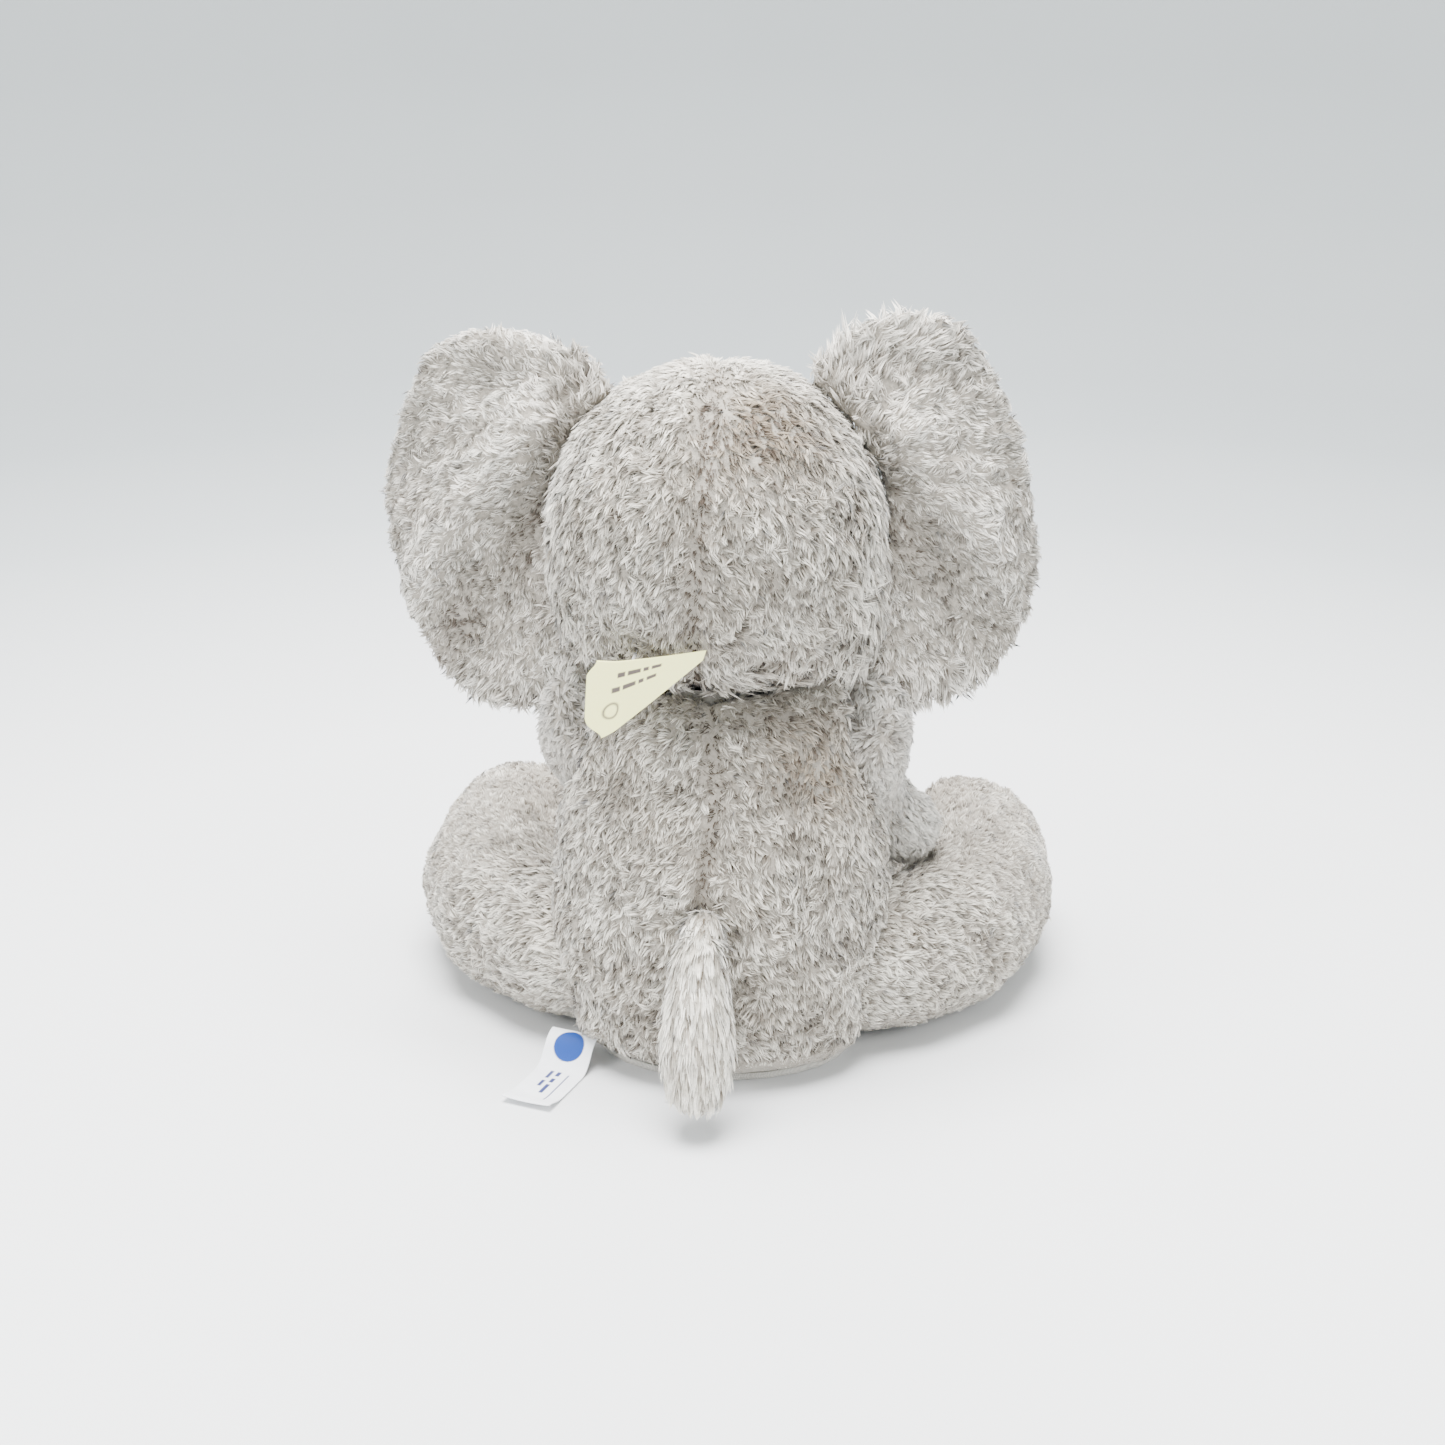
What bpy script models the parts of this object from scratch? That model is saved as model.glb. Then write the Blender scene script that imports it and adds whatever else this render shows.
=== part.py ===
"""Sitting plush elephant, as sewn skins, stuffing and trim that come apart.

Metres, +Z up. The animal faces -Y and its own left side is +X. The origin is the
middle of the flat seat panel that it sits on. Every fabric piece is as thick as
plush with its pile pressed down, so loose pile stands a few millimetres proud.
"""
import math

import bmesh
import bpy
from mathutils import Matrix, Vector

MM = 0.001

# Driving dimensions
PLUSH = 4.0 * MM                # plush fabric with its pile pressed down
CLEAR = 0.4 * MM                # gap between pieces that touch
MOVE_CLEAR = 0.9 * MM           # gap between pieces that turn past each other
SWING_CLEAR = 1.6 * MM          # room round a limb that swings
SIDES = 14                      # facets round a limb
TORSO_SIDES = 26
ROOT_ROWS = (-78.0, -55.0, -27.5)     # degrees behind a limb's joint
SEAM_PHASE = math.radians(4.0)  # keeps facet edges off the middle plane
SEAT_Z = 2.4 * MM               # thickness of the seat panel

HEAD_CENTRE = Vector((2.0, -2.0, 176.5)) * MM
HEAD_R = 51.0 * MM
NECK_HOLE_R = 15.0 * MM
NECK_PAD_R = 22.0 * MM
NECK_PAD_T = 4.0 * MM

TAIL_ROOT = Vector((1.5, 45.5, 61.0)) * MM
TAIL_TAB_R = 5.4 * MM
TAIL_REACH = Vector((0.0, 12.0, -4.0)) * MM     # from the root to where the furry part starts
EAR_HINGE = Vector((52.5, -9.0, 0.0)) * MM     # from the head's centre

ARM_RAISE = 45.0                # degrees
LEG_SPREAD = (-8.0, 12.0)
TRUNK_RAISE = 45.0

# Torso: height, half width, half depth of the outside, from the seat to the crown
TORSO_PROFILE = (
    (3.0, 43.5, 31.0),
    (7.0, 49.0, 38.0),
    (16.0, 52.5, 42.5),
    (31.0, 53.5, 45.0),
    (50.0, 53.5, 45.0),
    (70.0, 53.0, 43.0),
    (90.0, 51.0, 39.0),
    (105.0, 47.0, 34.5),
    (118.0, 39.5, 29.0),
    (128.0, 29.0, 21.5),
)
TORSO_TOP = 135.0 * MM
FILLING_BASE = (24.0, 48.0, 39.5)       # same three sizes for the stuffing's flat underside

# Pellet pouch under the stuffing: half width and height round its outline
POUCH_PROFILE = ((41.0, 9.0), (45.5, 13.0), (45.5, 19.0), (42.0, 23.2))
POUCH_NARROWING = 9.0           # half width less half depth

# Seat: half width and half depth of the flat panel, and of the closure strips behind it
PANEL_HALF = (40.0, 28.5)
TAPE_PROFILE = ((40.4, 0.2), (42.6, 0.2), (43.0, 1.3), (42.6, 2.4), (40.4, 2.4))
TAPE_NARROWING = 11.5
STRIP_OUTER = (37.5, 26.0)
STRIP_INNER = (28.5, 17.0)
STRIP_ARC = (50, 130, 10)       # degrees: first, last, step
STRIP_T = 1.4 * MM

# Limbs: centre line and radius at each point, right ones given as if on the left side
ARM_PATHS = {
    "left": ((42, -6, 104, 17.0), (41.5, -19, 94, 16.0), (41, -31, 82, 14.5),
             (42, -41, 70, 13.0), (44, -48, 60.5, 12.0)),
    "right": ((42, -6, 104, 17.0), (41.5, -19, 94, 16.0), (42, -31, 82, 14.5),
              (48, -39, 69, 13.0), (58, -43, 60.5, 12.0)),
}
LEG_PATH = ((35, -5, 27.5, 24.0), (57, -14, 25.5, 24.0), (77, -33, 25.5, 25.5),
            (87, -59, 27, 26.5), (84, -86, 28.5, 28.5), (82, -102, 29, 28.5))
LEG_TUCK = 0.94                 # the right leg's spread, as a share of the left leg's
TRUNK_PATH = ((2, -43, 165, 17.0), (2, -62, 152, 16.0), (2, -76, 134, 14.0),
              (2, -83, 114, 12.0), (2, -92, 99, 10.5), (2, -101, 93, 10.0))
TAIL_PATH = ((0, 0, 0, 5.5), (0, 4, -13, 8.0), (0, 7, -27, 9.5), (0, 9, -38, 8.5))

# Ears: outer edge from the top of the root round to the bottom, left ear
EAR_EDGE = ((42, 52), (58, 58.5), (75, 58.5), (92, 50), (103, 28), (107, 2),
            (105, -24), (97, -47), (81, -63), (62, -64), (52.5, -52))
EAR_ROOT_ARC = {"left": (52.0, -37.0), "right": (58.0, -30.0)}      # degrees up the head
EAR_LIFT = {"left": 0.0, "right": 5.0 * MM}
EAR_WIDTH = {"left": 1.0, "right": 0.84}
EAR_LEAN = {"left": 0.0, "right": math.radians(13.0)}
EAR_SWEEP = {"left": math.radians(8.0), "right": math.radians(16.0)}
EAR_ROOT_R = HEAD_R + 2.0 * MM  # the seam edge follows the head at this radius
EAR_BACK_T = 5.0 * MM
EAR_LINING_T = 3.0 * MM
EAR_GAP = 1.0 * MM              # between the two layers of an ear
EAR_CURL_FROM = 20.0 * MM       # the ear bends forward beyond this, by EAR_CURL at EAR_CURL_TO more
EAR_CURL_TO = 32.0 * MM
EAR_CURL = 6.0 * MM
RIDGE_START = Vector((0.050, 0.040))
RIDGE_WAY = Vector((0.60, -0.80))
RIDGE_UP = 4.5 * MM
RIDGE_W = 11.0 * MM
HOLLOW_CENTRE = (0.076, 0.044)
HOLLOW_HALF = (0.016, 0.011)
HOLLOW_DOWN = 3.5 * MM

SOLE_PROFILE = ((18.0, 0.0), (20.0, 0.5), (19.0, 1.9))    # radius, height
SOLE_CROWN = 2.1
FOOT_CAP = 0.30                 # how far the sole bulges, as a share of the foot's radius

EYE_TURN = math.radians(27.0)
EYE_UP = math.radians(9.0)
EYE_R = 5.5 * MM
EYE_DOME = ((0.86, 0.0), (1.0, 1.0), (0.94, 2.4), (0.72, 3.8), (0.36, 4.8))   # share of the radius, mm
EYE_TOP = 5.1 * MM
SHANK_R = 1.6 * MM
SHANK_L = 13.0 * MM
WASHER_R = 6.5 * MM
WASHER_T = 1.4 * MM
WASHER_DEPTH = 3.2 * MM         # below the inside of the skin
BORE_R = SHANK_R + 0.3 * MM
BORE_FROM = 30.0 * MM           # cutters reach from here out past the skin
BORE_TO = 60.0 * MM

CARD_PIVOT = Vector((23.0, 43.6, 146.0)) * MM
CARD_CORNERS = ((-21.0, 0.5, 4.0), (8.0, 0.5, 4.0), (-19.5, 0.5, 1.0), (12.5, -2.0, -28.0))
CARD_BOW = 1.0 * MM
PIN_R = 0.5 * MM
PIN_REACH = Vector((0.0, 10.0, 0.0)) * MM

LABEL_ROOT = Vector((47.0, 22.0, 6.6)) * MM
LABEL_WAY = Vector((0.30, 0.95, 0.0)).normalized()
LABEL_L = 40.0 * MM
LABEL_W = 17.0 * MM
LABEL_T = 0.5 * MM
CARD_T = 0.5 * MM


def clear_scene():
    for obj in list(bpy.data.objects):
        bpy.data.objects.remove(obj, do_unlink=True)


def make_material(name, colour, roughness):
    """A plain Principled material; colour is linear RGB."""
    material = bpy.data.materials.new(name)
    material.use_nodes = True
    shader = material.node_tree.nodes["Principled BSDF"]
    shader.inputs["Base Color"].default_value = (*colour, 1.0)
    shader.inputs["Roughness"].default_value = roughness
    shader.inputs["Metallic"].default_value = 0.0
    return material


def add_piece(name, bm, colour, roughness=0.9, pivot=Vector()):
    """Turn a bmesh in world space into an object whose origin is its pivot."""
    bmesh.ops.remove_doubles(bm, verts=bm.verts, dist=1e-6)
    bmesh.ops.recalc_face_normals(bm, faces=bm.faces)
    bmesh.ops.translate(bm, verts=bm.verts, vec=-pivot)
    mesh = bpy.data.meshes.new(name)
    bm.to_mesh(mesh)
    bm.free()
    mesh.shade_smooth()
    mesh.set_sharp_from_angle(angle=math.radians(50.0))
    obj = bpy.data.objects.new(name, mesh)
    bpy.context.scene.collection.objects.link(obj)
    obj.location = pivot
    mesh.materials.append(make_material(name, colour, roughness))
    return obj


def add_cutter(name, bm):
    """A shape that is only taken away from its neighbours."""
    obj = add_piece(name, bm, (0.5, 0.1, 0.1))
    obj.hide_render = True
    obj.display_type = "WIRE"
    return obj


def cut(obj, cutters):
    for cutter in cutters:
        modifier = obj.modifiers.new(cutter.name, "BOOLEAN")
        modifier.operation = "DIFFERENCE"
        modifier.solver = "EXACT"
        modifier.object = cutter


def mirror_x(points):
    return [(-x, y, z, *rest) for x, y, z, *rest in points]


def arm_path(side):
    return ARM_PATHS[side] if side == "left" else mirror_x(ARM_PATHS[side])


def leg_path(side):
    """Centre line and radii of a leg; the right one lies a little closer to the seat."""
    if side == "left":
        return LEG_PATH
    hip_x = LEG_PATH[0][0]
    tucked = [(hip_x + (x - hip_x) * LEG_TUCK, *rest) for x, *rest in LEG_PATH]
    return mirror_x(tucked)


def loft(rings, start=None, end=None):
    """Skin a list of rings; a start or end point closes that end."""
    bm = bmesh.new()
    loops = [[bm.verts.new(point) for point in ring] for ring in rings]
    count = len(loops[0])
    for lower, upper in zip(loops, loops[1:]):
        for i in range(count):
            j = (i + 1) % count
            bm.faces.new((lower[i], lower[j], upper[j], upper[i]))
    for point, loop in ((start, loops[0]), (end, loops[-1])):
        if point is None:
            continue
        tip = bm.verts.new(point)
        for i in range(count):
            bm.faces.new((loop[i], loop[(i + 1) % count], tip))
    return bm


def smooth_curve(points, steps, closed=False):
    """Catmull-Rom curve through points of any dimension."""
    count = len(points)

    def at(index):
        if closed:
            return points[index % count]
        return points[min(max(index, 0), count - 1)]

    result = []
    spans = count if closed else count - 1
    for span in range(spans):
        before, first, second, after = (at(span + k) for k in (-1, 0, 1, 2))
        for step in range(steps):
            t = step / steps
            result.append(tuple(
                0.5 * (2 * b + (c - a) * t + (2 * a - 5 * b + 4 * c - d) * t * t
                       + (3 * b - a - 3 * c + d) * t ** 3)
                for a, b, c, d in zip(before, first, second, after)))
    if not closed:
        result.append(tuple(points[-1]))
    return result


def limb_rings(path, shrink=0.0, closed_root=False, cap=0.9, floor=None, steps=1):
    """Rings and end point of a soft limb whose root is a ball round its joint.

    path is in millimetres with a radius, shrink moves the surface inwards, cap is
    the roundness of the far end, and floor flattens what rests on the ground.
    """
    stations = [(Vector(point[:3]) * MM, point[3] * MM) for point in smooth_curve(path, steps)]
    centres = [centre for centre, _ in stations]
    tangents = []
    for i in range(len(centres)):
        ahead = centres[min(i + 1, len(centres) - 1)]
        behind = centres[max(i - 1, 0)]
        tangents.append((ahead - behind).normalized())
    root, root_r = stations[0]
    end, end_r = stations[-1]
    rows = []
    for degrees in ROOT_ROWS if closed_root else ROOT_ROWS[1:]:
        angle = math.radians(degrees)
        radius = root_r - shrink
        rows.append((root + tangents[0] * radius * math.sin(angle), radius * math.cos(angle), tangents[0]))
    for (centre, radius), tangent in zip(stations, tangents):
        rows.append((centre, radius - shrink, tangent))
    cap_depth = end_r * cap - shrink
    for degrees in (28.0, 56.0, 78.0):
        angle = math.radians(degrees)
        centre = end + tangents[-1] * cap_depth * math.sin(angle)
        rows.append((centre, (end_r - shrink) * math.cos(angle) ** min(1.0, 0.35 + cap), tangents[-1]))
    side = Vector((0, 0, 1)).cross(tangents[0])
    if side.length < 0.1:
        side = Vector((1, 0, 0))
    side.normalize()
    rings = []
    for centre, radius, tangent in rows:
        side = (side - tangent * side.dot(tangent)).normalized()
        up = tangent.cross(side)
        ring = []
        for i in range(SIDES):
            angle = math.tau * i / SIDES
            point = centre + (side * math.cos(angle) + up * math.sin(angle)) * radius
            if floor is not None:
                point.z = max(point.z, floor)
            ring.append(point)
        rings.append(ring)
    return rings, end + tangents[-1] * cap_depth


def limb_skin(path, **shape):
    """A sock of plush, open at the root."""
    outer, outer_tip = limb_rings(path, **shape)
    inner_shape = dict(shape)
    if shape.get("floor") is not None:
        inner_shape["floor"] = shape["floor"] + PLUSH
    inner, inner_tip = limb_rings(path, shrink=PLUSH, **inner_shape)
    return loft(inner[::-1] + outer, start=inner_tip, end=outer_tip)


def limb_solid(path, shrink, **shape):
    """A closed limb, as the stuffing inside a skin."""
    rings, tip = limb_rings(path, shrink=shrink, closed_root=True, **shape)
    middle = sum(rings[0], Vector()) / SIDES
    return loft(rings, start=middle, end=tip)


def turned(bm, axis_rotation=Matrix.Identity(3), centre=Vector()):
    bmesh.ops.rotate(bm, verts=bm.verts, matrix=axis_rotation, cent=Vector())
    bmesh.ops.translate(bm, verts=bm.verts, vec=centre)
    return bm


def turned_solid(profile, sides=24, start=None, end=None):
    """Revolve (radius, height) pairs round Z."""
    rings = [[Vector((r * math.cos(math.tau * i / sides), r * math.sin(math.tau * i / sides), z))
              for i in range(sides)] for r, z in profile]
    return loft(rings, start=start, end=end)


def ball(centre, radius, sides=32, rows=16):
    bm = bmesh.new()
    bmesh.ops.create_uvsphere(bm, u_segments=sides, v_segments=rows, radius=radius)
    bmesh.ops.rotate(bm, verts=bm.verts, matrix=Matrix.Rotation(SEAM_PHASE, 3, "Z"), cent=Vector())
    bmesh.ops.translate(bm, verts=bm.verts, vec=centre)
    return bm


def torso_ring(height, half_width, half_depth, sides=TORSO_SIDES):
    turns = [math.tau * i / sides + SEAM_PHASE for i in range(sides)]
    return [Vector((half_width * math.cos(turn), half_depth * math.sin(turn), height)) for turn in turns]


def torso_rings(shrink, first_height):
    rows = [tuple(value * MM for value in row) for row in TORSO_PROFILE]
    rows = [(max(z, first_height), a - shrink, b - shrink) for z, a, b in rows if a > shrink * 3]
    return [torso_ring(*row) for row in smooth_curve(rows, 1)]


# Turning limbs take a bite out of the pieces that they swing past

def swing_room(name, path, axis, angles):
    """Cutter round everything that a limb's root sweeps through, from stop to stop."""
    pivot = Vector(path[0][:3]) * MM
    rings, tip = limb_rings(path, shrink=-SWING_CLEAR, closed_root=True)
    reach = [point - pivot for ring in rings for point in ring] + [tip - pivot]
    bm = bmesh.new()
    for degrees in angles:
        turn = Matrix.Rotation(math.radians(degrees), 3, axis)
        for offset in reach:
            bm.verts.new(pivot + turn @ offset)
    hull = bmesh.ops.convex_hull(bm, input=bm.verts)
    inside = [item for item in hull["geom_interior"] if isinstance(item, bmesh.types.BMVert)]
    bmesh.ops.delete(bm, geom=inside, context="VERTS")
    bmesh.ops.dissolve_limit(bm, angle_limit=math.radians(2.0), verts=bm.verts, edges=bm.edges)
    bmesh.ops.triangulate(bm, faces=bm.faces)
    return add_cutter(f"{name}_room_cutter", bm)


def build_torso():
    head_cutter = add_cutter("head_cutter", ball(HEAD_CENTRE, HEAD_R + MOVE_CLEAR, 32, 20))
    cutters = [head_cutter]
    for side, sign in (("left", 1), ("right", -1)):
        arm = arm_path(side)
        leg = leg_path(side)
        raise_steps = [-ARM_RAISE * k / 3 for k in range(4)]
        cutters.append(swing_room(f"arm_{side}", arm, "X", raise_steps))
        spread_steps = [sign * angle for angle in (LEG_SPREAD[0], 0.0, LEG_SPREAD[1])]
        cutters.append(swing_room(f"leg_{side}", leg[:3], "Z", spread_steps))
    cutters.append(add_cutter("tail_tab_cutter", ball(TAIL_ROOT, TAIL_TAB_R + 1.0 * MM, 20, 12)))
    pad_bed = neck_cap(HEAD_R, HEAD_R + NECK_PAD_T + MOVE_CLEAR * 2, NECK_PAD_R + MOVE_CLEAR)
    cutters.append(add_cutter("neck_pad_cutter", pad_bed))

    outer = torso_rings(0.0, 0.0)
    inner = torso_rings(PLUSH, 0.0)
    bm = loft(inner[::-1] + outer, start=(0, 0, TORSO_TOP - PLUSH), end=(0, 0, TORSO_TOP))
    skin = add_piece("torso_skin", bm, (0.47, 0.44, 0.40))
    cut(skin, cutters)

    underside, half_width, half_depth = (value * MM for value in FILLING_BASE)
    higher = [ring for ring in torso_rings(PLUSH + CLEAR, 0.0) if ring[0].z > underside]
    rings = [torso_ring(underside, half_width, half_depth)] + higher
    bm = loft(rings, start=(0, 0, underside), end=(0, 0, TORSO_TOP - PLUSH - CLEAR))
    filling = add_piece("torso_stuffing", bm, (0.80, 0.80, 0.78))
    cut(filling, cutters)

    rings = [torso_ring(z * MM, a * MM, (a - POUCH_NARROWING) * MM) for a, z in POUCH_PROFILE]
    bottom, top = POUCH_PROFILE[0][1] * MM, POUCH_PROFILE[-1][1] * MM
    bm = loft(rings, start=(0, 0, bottom), end=(0, 0, top))
    pouch = add_piece("seat_pellet_pouch", bm, (0.72, 0.72, 0.70))
    cut(pouch, [c for c in cutters if c.name.startswith("leg")])

    bm = neck_cap(HEAD_R + MOVE_CLEAR, HEAD_R + MOVE_CLEAR + NECK_PAD_T, NECK_PAD_R)
    add_piece("neck_pad", bm, (0.75, 0.74, 0.70), pivot=HEAD_CENTRE)


def neck_cap(inner_r, outer_r, edge_r, sides=28):
    """A round piece of a hollow ball, under the head and centred on it."""
    rings = []
    for radius, order in ((inner_r, 1), (outer_r, -1)):
        edge = math.asin(edge_r / radius)
        rows = [edge * k / 3 for k in (1, 2, 3)][::order]
        for angle in rows:
            out, down = radius * math.sin(angle), radius * math.cos(angle)
            turns = [math.tau * i / sides for i in range(sides)]
            rings.append([HEAD_CENTRE + Vector((out * math.cos(turn), out * math.sin(turn), -down))
                          for turn in turns])
    bottoms = [HEAD_CENTRE - Vector((0, 0, radius)) for radius in (inner_r, outer_r)]
    return loft(rings, start=bottoms[0], end=bottoms[1])


def build_seat():
    """Flat panel that closes the bottom, its bound edge, and the pocket closure."""
    half_width, half_depth = (value * MM for value in PANEL_HALF)
    panel = [torso_ring(z, half_width, half_depth) for z in (0.0, SEAT_Z)]
    bm = loft(panel, start=(0, 0, 0), end=(0, 0, SEAT_Z))
    add_piece("base_panel", bm, (0.50, 0.48, 0.45))

    # The binding is a folded tape that runs round the panel's edge
    rings = [torso_ring(z * MM, a * MM, (a - TAPE_NARROWING) * MM) for a, z in TAPE_PROFILE]
    rings.append(rings[0])
    add_piece("base_binding", loft(rings), (0.62, 0.60, 0.56))

    # Hook and loop strips along the back of the opening
    first, last, step = STRIP_ARC
    arc = [math.radians(degrees) for degrees in range(first, last + step, step)]
    hook_z = SEAT_Z + CLEAR
    loop_z = hook_z + STRIP_T + CLEAR
    for name, low, colour in (("closure_hook_strip", hook_z, (0.55, 0.53, 0.50)),
                              ("closure_loop_strip", loop_z, (0.60, 0.58, 0.55))):
        rows = []
        for z in (low, low + STRIP_T):
            outline = []
            for (a, b), angles in ((STRIP_OUTER, arc), (STRIP_INNER, arc[::-1])):
                outline += [Vector((a * MM * math.cos(angle), b * MM * math.sin(angle), z))
                            for angle in angles]
            rows.append(outline)
        bm = loft(rows)
        bmesh.ops.holes_fill(bm, edges=bm.edges, sides=0)
        add_piece(name, bm, colour, roughness=0.7)


def eye_direction(sign):
    return Vector((sign * math.sin(EYE_TURN) * math.cos(EYE_UP),
                   -math.cos(EYE_TURN) * math.cos(EYE_UP),
                   math.sin(EYE_UP)))


def build_head():
    trunk_cutter = swing_room("trunk", TRUNK_PATH[:3], "X", [-TRUNK_RAISE * k / 3 for k in range(4)])
    skin_cutters = [trunk_cutter]
    filling_cutters = [trunk_cutter]
    hole = turned_solid(((NECK_HOLE_R, -BORE_TO), (NECK_HOLE_R, -BORE_FROM)),
                        start=(0, 0, -BORE_TO), end=(0, 0, -BORE_FROM))
    skin_cutters.append(add_cutter("neck_hole_cutter", turned(hole, centre=HEAD_CENTRE)))

    for side, sign in (("left", 1), ("right", -1)):
        direction = eye_direction(sign)
        turn = direction.to_track_quat("Z", "Y").to_matrix()
        seat = HEAD_R + CLEAR
        profile = [(SHANK_R, seat - SHANK_L), (SHANK_R, seat)]
        profile += [(EYE_R * share, seat + z * MM) for share, z in EYE_DOME]
        bm = turned_solid(profile, 16, start=(0, 0, seat - SHANK_L), end=(0, 0, seat + EYE_TOP))
        add_piece(f"eye_{side}", turned(bm, turn, HEAD_CENTRE), (0.01, 0.008, 0.007), 0.12)

        washer_z = HEAD_R - PLUSH - WASHER_DEPTH
        ring = [(BORE_R, washer_z), (WASHER_R, washer_z), (WASHER_R, washer_z + WASHER_T),
                (BORE_R, washer_z + WASHER_T), (BORE_R, washer_z)]
        bm = turned_solid(ring, 16)
        add_piece(f"eye_washer_{side}", turned(bm, turn, HEAD_CENTRE), (0.75, 0.75, 0.72), 0.5)

        bore = turned_solid(((BORE_R, BORE_FROM), (BORE_R, BORE_TO)), 12,
                            start=(0, 0, BORE_FROM), end=(0, 0, BORE_TO))
        skin_cutters.append(add_cutter(f"eye_bore_cutter_{side}", turned(bore, turn, HEAD_CENTRE)))
        pocket_r = WASHER_R + 0.6 * MM
        pocket_z = HEAD_R - SHANK_L - 1.2 * MM
        pocket = turned_solid(((pocket_r, pocket_z), (pocket_r, BORE_TO)), 16,
                              start=(0, 0, pocket_z), end=(0, 0, BORE_TO))
        filling_cutters.append(add_cutter(f"eye_pocket_cutter_{side}", turned(pocket, turn, HEAD_CENTRE)))

    hollow = add_cutter("head_hollow_cutter", ball(HEAD_CENTRE, HEAD_R - PLUSH, 26, 15))
    skin = add_piece("head_skin", ball(HEAD_CENTRE, HEAD_R, 26, 15), (0.48, 0.45, 0.41), pivot=HEAD_CENTRE)
    cut(skin, [hollow] + skin_cutters)
    filling = add_piece("head_stuffing", ball(HEAD_CENTRE, HEAD_R - PLUSH - CLEAR, 26, 15),
                        (0.80, 0.80, 0.78), pivot=HEAD_CENTRE)
    cut(filling, filling_cutters)

    root = Vector(TRUNK_PATH[0][:3]) * MM
    add_piece("trunk_skin", limb_skin(TRUNK_PATH), (0.50, 0.47, 0.43), pivot=root)
    add_piece("trunk_stuffing", limb_solid(TRUNK_PATH, PLUSH + CLEAR), (0.80, 0.80, 0.78), pivot=root)


def ear_outline(side):
    """Edge of an ear in its own plane, as (x, z) from the head's centre, left side."""
    outline = []
    lean = Matrix.Rotation(EAR_LEAN[side], 2)
    for x, z in EAR_EDGE:
        from_hinge = Vector(((x * MM - EAR_HINGE.x) * EAR_WIDTH[side], z * MM))
        place = lean @ from_hinge
        outline.append((EAR_HINGE.x + place.x, place.y + EAR_LIFT[side]))
    top, bottom = EAR_ROOT_ARC[side]
    for k in range(6):
        angle = math.radians(bottom + (top - bottom) * k / 5)
        outline.append((EAR_ROOT_R * math.cos(angle), EAR_ROOT_R * math.sin(angle)))
    return smooth_curve(outline, 2, closed=True)


def ear_depth(x, z, side):
    """Y of the ear's middle layer: it sweeps forward and has a ridge across its back."""
    out = x - EAR_HINGE.x
    height = z - EAR_LIFT[side]
    y = EAR_HINGE.y - max(out, 0.0) * math.tan(EAR_SWEEP[side])
    y -= EAR_CURL * (max(out - EAR_CURL_FROM, 0.0) / EAR_CURL_TO) ** 2
    offset = Vector((x, height)) - RIDGE_START
    along = offset.dot(RIDGE_WAY)
    across = offset.x * RIDGE_WAY.y - offset.y * RIDGE_WAY.x
    fade = max(0.0, min(1.0, (along + 0.004) / 0.02)) * max(0.0, min(1.0, (0.10 - along) / 0.03))
    y += RIDGE_UP * math.exp(-(across / RIDGE_W) ** 2) * fade
    hollow_x = (x - HOLLOW_CENTRE[0]) / HOLLOW_HALF[0]
    hollow_z = (height - HOLLOW_CENTRE[1]) / HOLLOW_HALF[1]
    return y - HOLLOW_DOWN * math.exp(-hollow_x ** 2 - hollow_z ** 2)


def ear_plate(side, front, back, inset):
    """A plate between two offsets from the ear's middle layer."""
    sign = 1 if side == "left" else -1
    outline = ear_outline(side)
    centre = Vector((sum(p[0] for p in outline), sum(p[1] for p in outline))) / len(outline)
    rings = []
    for offset, shares in ((back, (0.35, 0.70, 0.95)), (front, (0.95, 0.70, 0.35))):
        for share in shares:
            ring = []
            for x, z in outline:
                point = centre + (Vector((x, z)) - centre) * share
                point -= (Vector((x, z)) - centre).normalized() * inset * share
                depth = ear_depth(point.x, point.y, side) + offset
                ring.append(HEAD_CENTRE + Vector((sign * point.x, depth, point.y)))
            rings.append(ring)
        if offset == back:
            rim = []
            for x, z in outline:
                point = Vector((x, z)) - (Vector((x, z)) - centre).normalized() * inset
                depth = ear_depth(point.x, point.y, side) + (front + back) / 2
                rim.append(HEAD_CENTRE + Vector((sign * point.x, depth, point.y)))
            rings.append(rim)
    middle = ear_depth(centre.x, centre.y, side)
    back_tip, front_tip = (HEAD_CENTRE + Vector((sign * centre.x, middle + offset, centre.y))
                           for offset in (back, front))
    return loft(rings, start=back_tip, end=front_tip)


def build_ears():
    for side, sign in (("left", 1), ("right", -1)):
        hinge = HEAD_CENTRE + Vector((sign * EAR_HINGE.x, EAR_HINGE.y, EAR_HINGE.z))
        bm = ear_plate(side, 0.0, EAR_BACK_T, 0.0)
        add_piece(f"ear_{side}_back", bm, (0.55, 0.52, 0.48), pivot=hinge)
        bm = ear_plate(side, -EAR_LINING_T - EAR_GAP, -EAR_GAP, 1.5 * MM)
        add_piece(f"ear_{side}_lining", bm, (0.62, 0.57, 0.53), pivot=hinge)


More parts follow.
